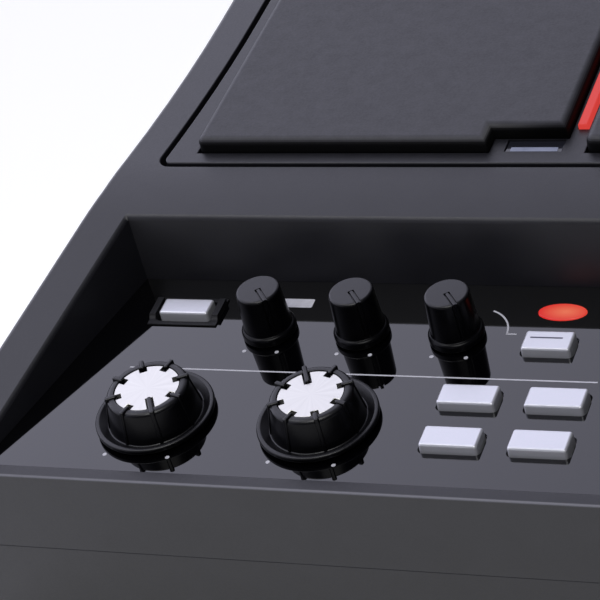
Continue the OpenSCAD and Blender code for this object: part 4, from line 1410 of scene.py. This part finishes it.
@dataclass
class Display:
    """Display: a clear window over a backlit field with plain bars and squares."""

    margin: float = 4.5
    field_t: float = 0.25
    field_sink: float = 0.1
    mark_t: float = 0.06
    mark_sink: float = 0.02
    room: float = 0.25
    squares: int = 3
    square_share: float = 0.72
    square_round: float = 0.4
    bars: int = 6
    bar_share: float = 0.55
    bar_round: float = 0.3
    longest: float = 0.92
    shorter: float = 0.11

    def build(self) -> None:
        """Makes the field and its bars under the window."""
        keep("display_window", DISPLAY_GLASS)
        low, high = DECK.node_box("display_module")
        x0, x1 = low.x + self.margin, high.x - self.margin
        y0, y1 = low.y + self.margin, high.y - self.margin
        top = high.z + self.field_t
        field = Work.slab([(x0, y0), (x1, y0), (x1, y1), (x0, y1)], high.z - self.field_sink, top)
        field.piece("display_field", DISPLAY_FIELD)
        marks = Work()
        cell = (y1 - y0) / (self.squares + 2 * self.room)
        side = cell * self.square_share
        for i in range(self.squares):
            for j in range(self.squares):
                square = self.mark(side, side, self.square_round, top)
                marks.join(square.move(x0 + cell * self.middle(i), y0 + cell * self.middle(j)))
        left = x0 + cell * (self.squares + 1)
        pitch = (y1 - y0) / (self.bars + 2 * self.room)
        for i in range(self.bars):
            length = (x1 - left) * (self.longest - self.shorter * ((i * 2) % self.bars))
            bar = self.mark(length, pitch * self.bar_share, self.bar_round, top)
            marks.join(bar.move(left + length / 2, y0 + pitch * self.middle(i)))
        marks.piece("display_bars", DISPLAY_BAR)

    def middle(self, number: int) -> float:
        """Middle of a row, counted in rows from the field's edge."""
        return number + self.room + 0.5

    def mark(self, width: float, depth: float, radius: float, top: float) -> Work:
        """Flat mark on the field, whose top is given."""
        return Work.slab(rounded_box(width, depth, radius), top - self.mark_sink, top + self.mark_t)


@dataclass
class BackAndUnder:
    """Sockets at the back, feet, screws and inserts underneath."""

    jack_edge: float = 0.25
    socket_edge: float = 0.15
    shell_edge: float = 0.12
    foot_edge: float = 0.7
    insert_edge: float = 0.2

    def build(self) -> None:
        """Rounds the parts that show and dresses the screws."""
        rows = (("phone_jacks", "jack_bushings", SOCKET_NYLON, "socket_plastic", self.jack_edge),
                ("jack_nuts", "jack_nut_rings", NICKEL, "plated_metal", self.jack_edge),
                ("midi_sockets", "round_socket_faces", SOCKET_NYLON, "socket_plastic", self.socket_edge),
                ("usb_sockets", "square_socket_shells", NICKEL, "plated_metal", self.shell_edge),
                ("dc_inlet", "power_inlet", SOCKET_NYLON, "socket_plastic", self.socket_edge),
                ("rubber_feet", "foot_pads", FOOT_RUBBER, "foot_rubber", self.foot_edge),
                ("stand_inserts", "threaded_inserts", BRASS, "brass", self.insert_edge))
        for node, name, finish, slot, radius in rows:
            Work.of_node(node).soften(radius).piece(name, finish, slot=slot, replaces=[node])
        keep("screws", STEEL)


@dataclass
class Inside:
    """Parts inside the case, which keep their CAD shapes."""

    steel: tuple[str, ...] = ("pad_plate", "potentiometers", "master_shaft", "phones_shaft", "click_shaft",
                              "control_1_shaft", "control_2_shaft")
    boards: tuple[str, ...] = ("panel_board", "main_board")
    nylon: tuple[str, ...] = ("panel_switches", "display_module")
    brass: tuple[str, ...] = ("pad_sensors",)

    def build(self) -> None:
        """Dresses each part."""
        for finish, nodes in ((STEEL, self.steel), (BOARD, self.boards), (SOCKET_NYLON, self.nylon),
                              (BRASS, self.brass)):
            for node in nodes:
                keep(node, finish)


def keep(node: str, finish: Finish) -> None:
    """Gives a CAD node that stays in view its finish.

    Args:
        node: the CAD node's name.
        finish: its material.
    """
    mesh = frame["nodes"][node].data
    mesh.materials.clear()
    mesh.materials.append(finish.material())
    LOG.info("%s keeps its CAD shape", node)


@dataclass
class Studio:
    """Pale floor, soft light and the photograph's viewpoint.

    The eye and the aim are deck millimetres from the first control knob. The floor and the lamps are in
    metres.
    """

    eye: Triple = (271.4, -406.9, 375.7)
    aim: Triple = (20.84, 42.2, 0.0)
    roll_deg: float = 14.09
    lens: float = 162.72
    sensor: float = 36.0
    clip: Point = (0.01, 100.0)
    floor_size: float = 24.0
    lamp_at: Triple = (0.2, -1.0, 1.5)
    lamp_size: float = 0.9
    lamp_power: float = 14.0
    edge_at: Triple = (-0.8, -0.27, 1.6)
    edge_size: float = 0.5
    edge_power: float = 3.4
    sky: str = "#e9e9ff"
    bright_way: Triple = (-0.88, 0.42, 0.1)
    fade: Point = (-0.09, 1.03)
    low_level: float = 0.06
    high_level: float = 2.14

    def build(self) -> None:
        """Makes the camera, the floor, the lamps and the world."""
        scene = bpy.context.scene
        scene.view_settings.view_transform = "Standard"
        self.camera(scene)
        self.floor()
        self.lamp("softbox_front", self.lamp_at, self.lamp_size, self.lamp_power)
        self.lamp("softbox_left", self.edge_at, self.edge_size, self.edge_power)
        self.world(scene)

    def camera(self, scene: bpy.types.Scene) -> None:
        """Stands the camera where the photograph was taken.

        Args:
            scene: the scene that it looks at.
        """
        first = DECK.knob_spot("control_1_turn")
        eye = DECK.metres(*(Vector(self.eye) + first))
        aim = DECK.metres(*(Vector(self.aim) + first))
        data = bpy.data.cameras.new("camera")
        data.lens = self.lens
        data.sensor_width = self.sensor
        data.clip_start, data.clip_end = self.clip
        camera = stand("camera", data)
        turn = (aim - eye).to_track_quat("-Z", "Y").to_matrix().to_4x4()
        roll = Matrix.Rotation(math.radians(-self.roll_deg), 4, "Z")
        camera.matrix_world = Matrix.Translation(eye) @ turn @ roll
        scene.camera = camera

    def floor(self) -> None:
        """Lays a white floor, which can be looked through from below."""
        sheet = Work()
        bmesh.ops.create_grid(sheet.shape, x_segments=1, y_segments=1, size=self.floor_size / 2)
        mesh = sheet.to_mesh("floor")
        mesh.materials.append(PAPER.material())
        floor = stand("floor", mesh)

    def lamp(self, name: str, place: Triple, size: float, power: float) -> None:
        """Hangs a soft lamp that looks at the object.

        Args:
            name: the lamp's name.
            place: where it hangs, in metres.
            size: length of its sides, in metres.
            power: its strength, in watts.
        """
        data = bpy.data.lights.new(name, "AREA")
        data.energy = power
        data.size = size
        lamp = stand(name, data)
        lamp.location = place
        lamp.rotation_euler = (-Vector(place)).to_track_quat("-Z", "Y").to_euler()

    def world(self, scene: bpy.types.Scene) -> None:
        """Surrounds the object with soft light that fades from the left to the right.

        Args:
            scene: the scene that it lights.
        """
        world = bpy.data.worlds.new("studio")
        world.use_nodes = True
        scene.world = world
        tree = world.node_tree
        tree.nodes.clear()
        way = add_node(tree, "ShaderNodeTexCoord").outputs["Generated"]
        along = add_node(tree, "ShaderNodeVectorMath",
                         {0: way, 1: tuple(Vector(self.bright_way).normalized())}, operation="DOT_PRODUCT")
        level = add_node(tree, "ShaderNodeMapRange",
                         {"Value": along.outputs["Value"], "From Min": self.fade[0], "From Max": self.fade[1],
                          "To Min": self.low_level, "To Max": self.high_level},
                         interpolation_type="SMOOTHSTEP")
        soft = add_node(tree, "ShaderNodeBackground",
                        {"Color": linear(self.sky), "Strength": level.outputs[0]})
        add_node(tree, "ShaderNodeOutputWorld", {"Surface": soft.outputs[0]})


def main() -> None:
    """Builds the drum pad's looks."""
    logging.basicConfig(level=logging.INFO, format="%(name)s: %(message)s")
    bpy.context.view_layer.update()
    Studio().build()
    CaseShells().build()
    PadField().build()
    for name in ("master", "phones", "click"):
        VolumeKnob(name).build()
    ControlKnob("control_1", pointer_deg=-61.0).build()
    ControlKnob("control_2", pointer_deg=117.0).build()
    KeySet().build()
    PanelFace().build()
    Display().build()
    BackAndUnder().build()
    Inside().build()


if __name__ == "__main__":
    main()
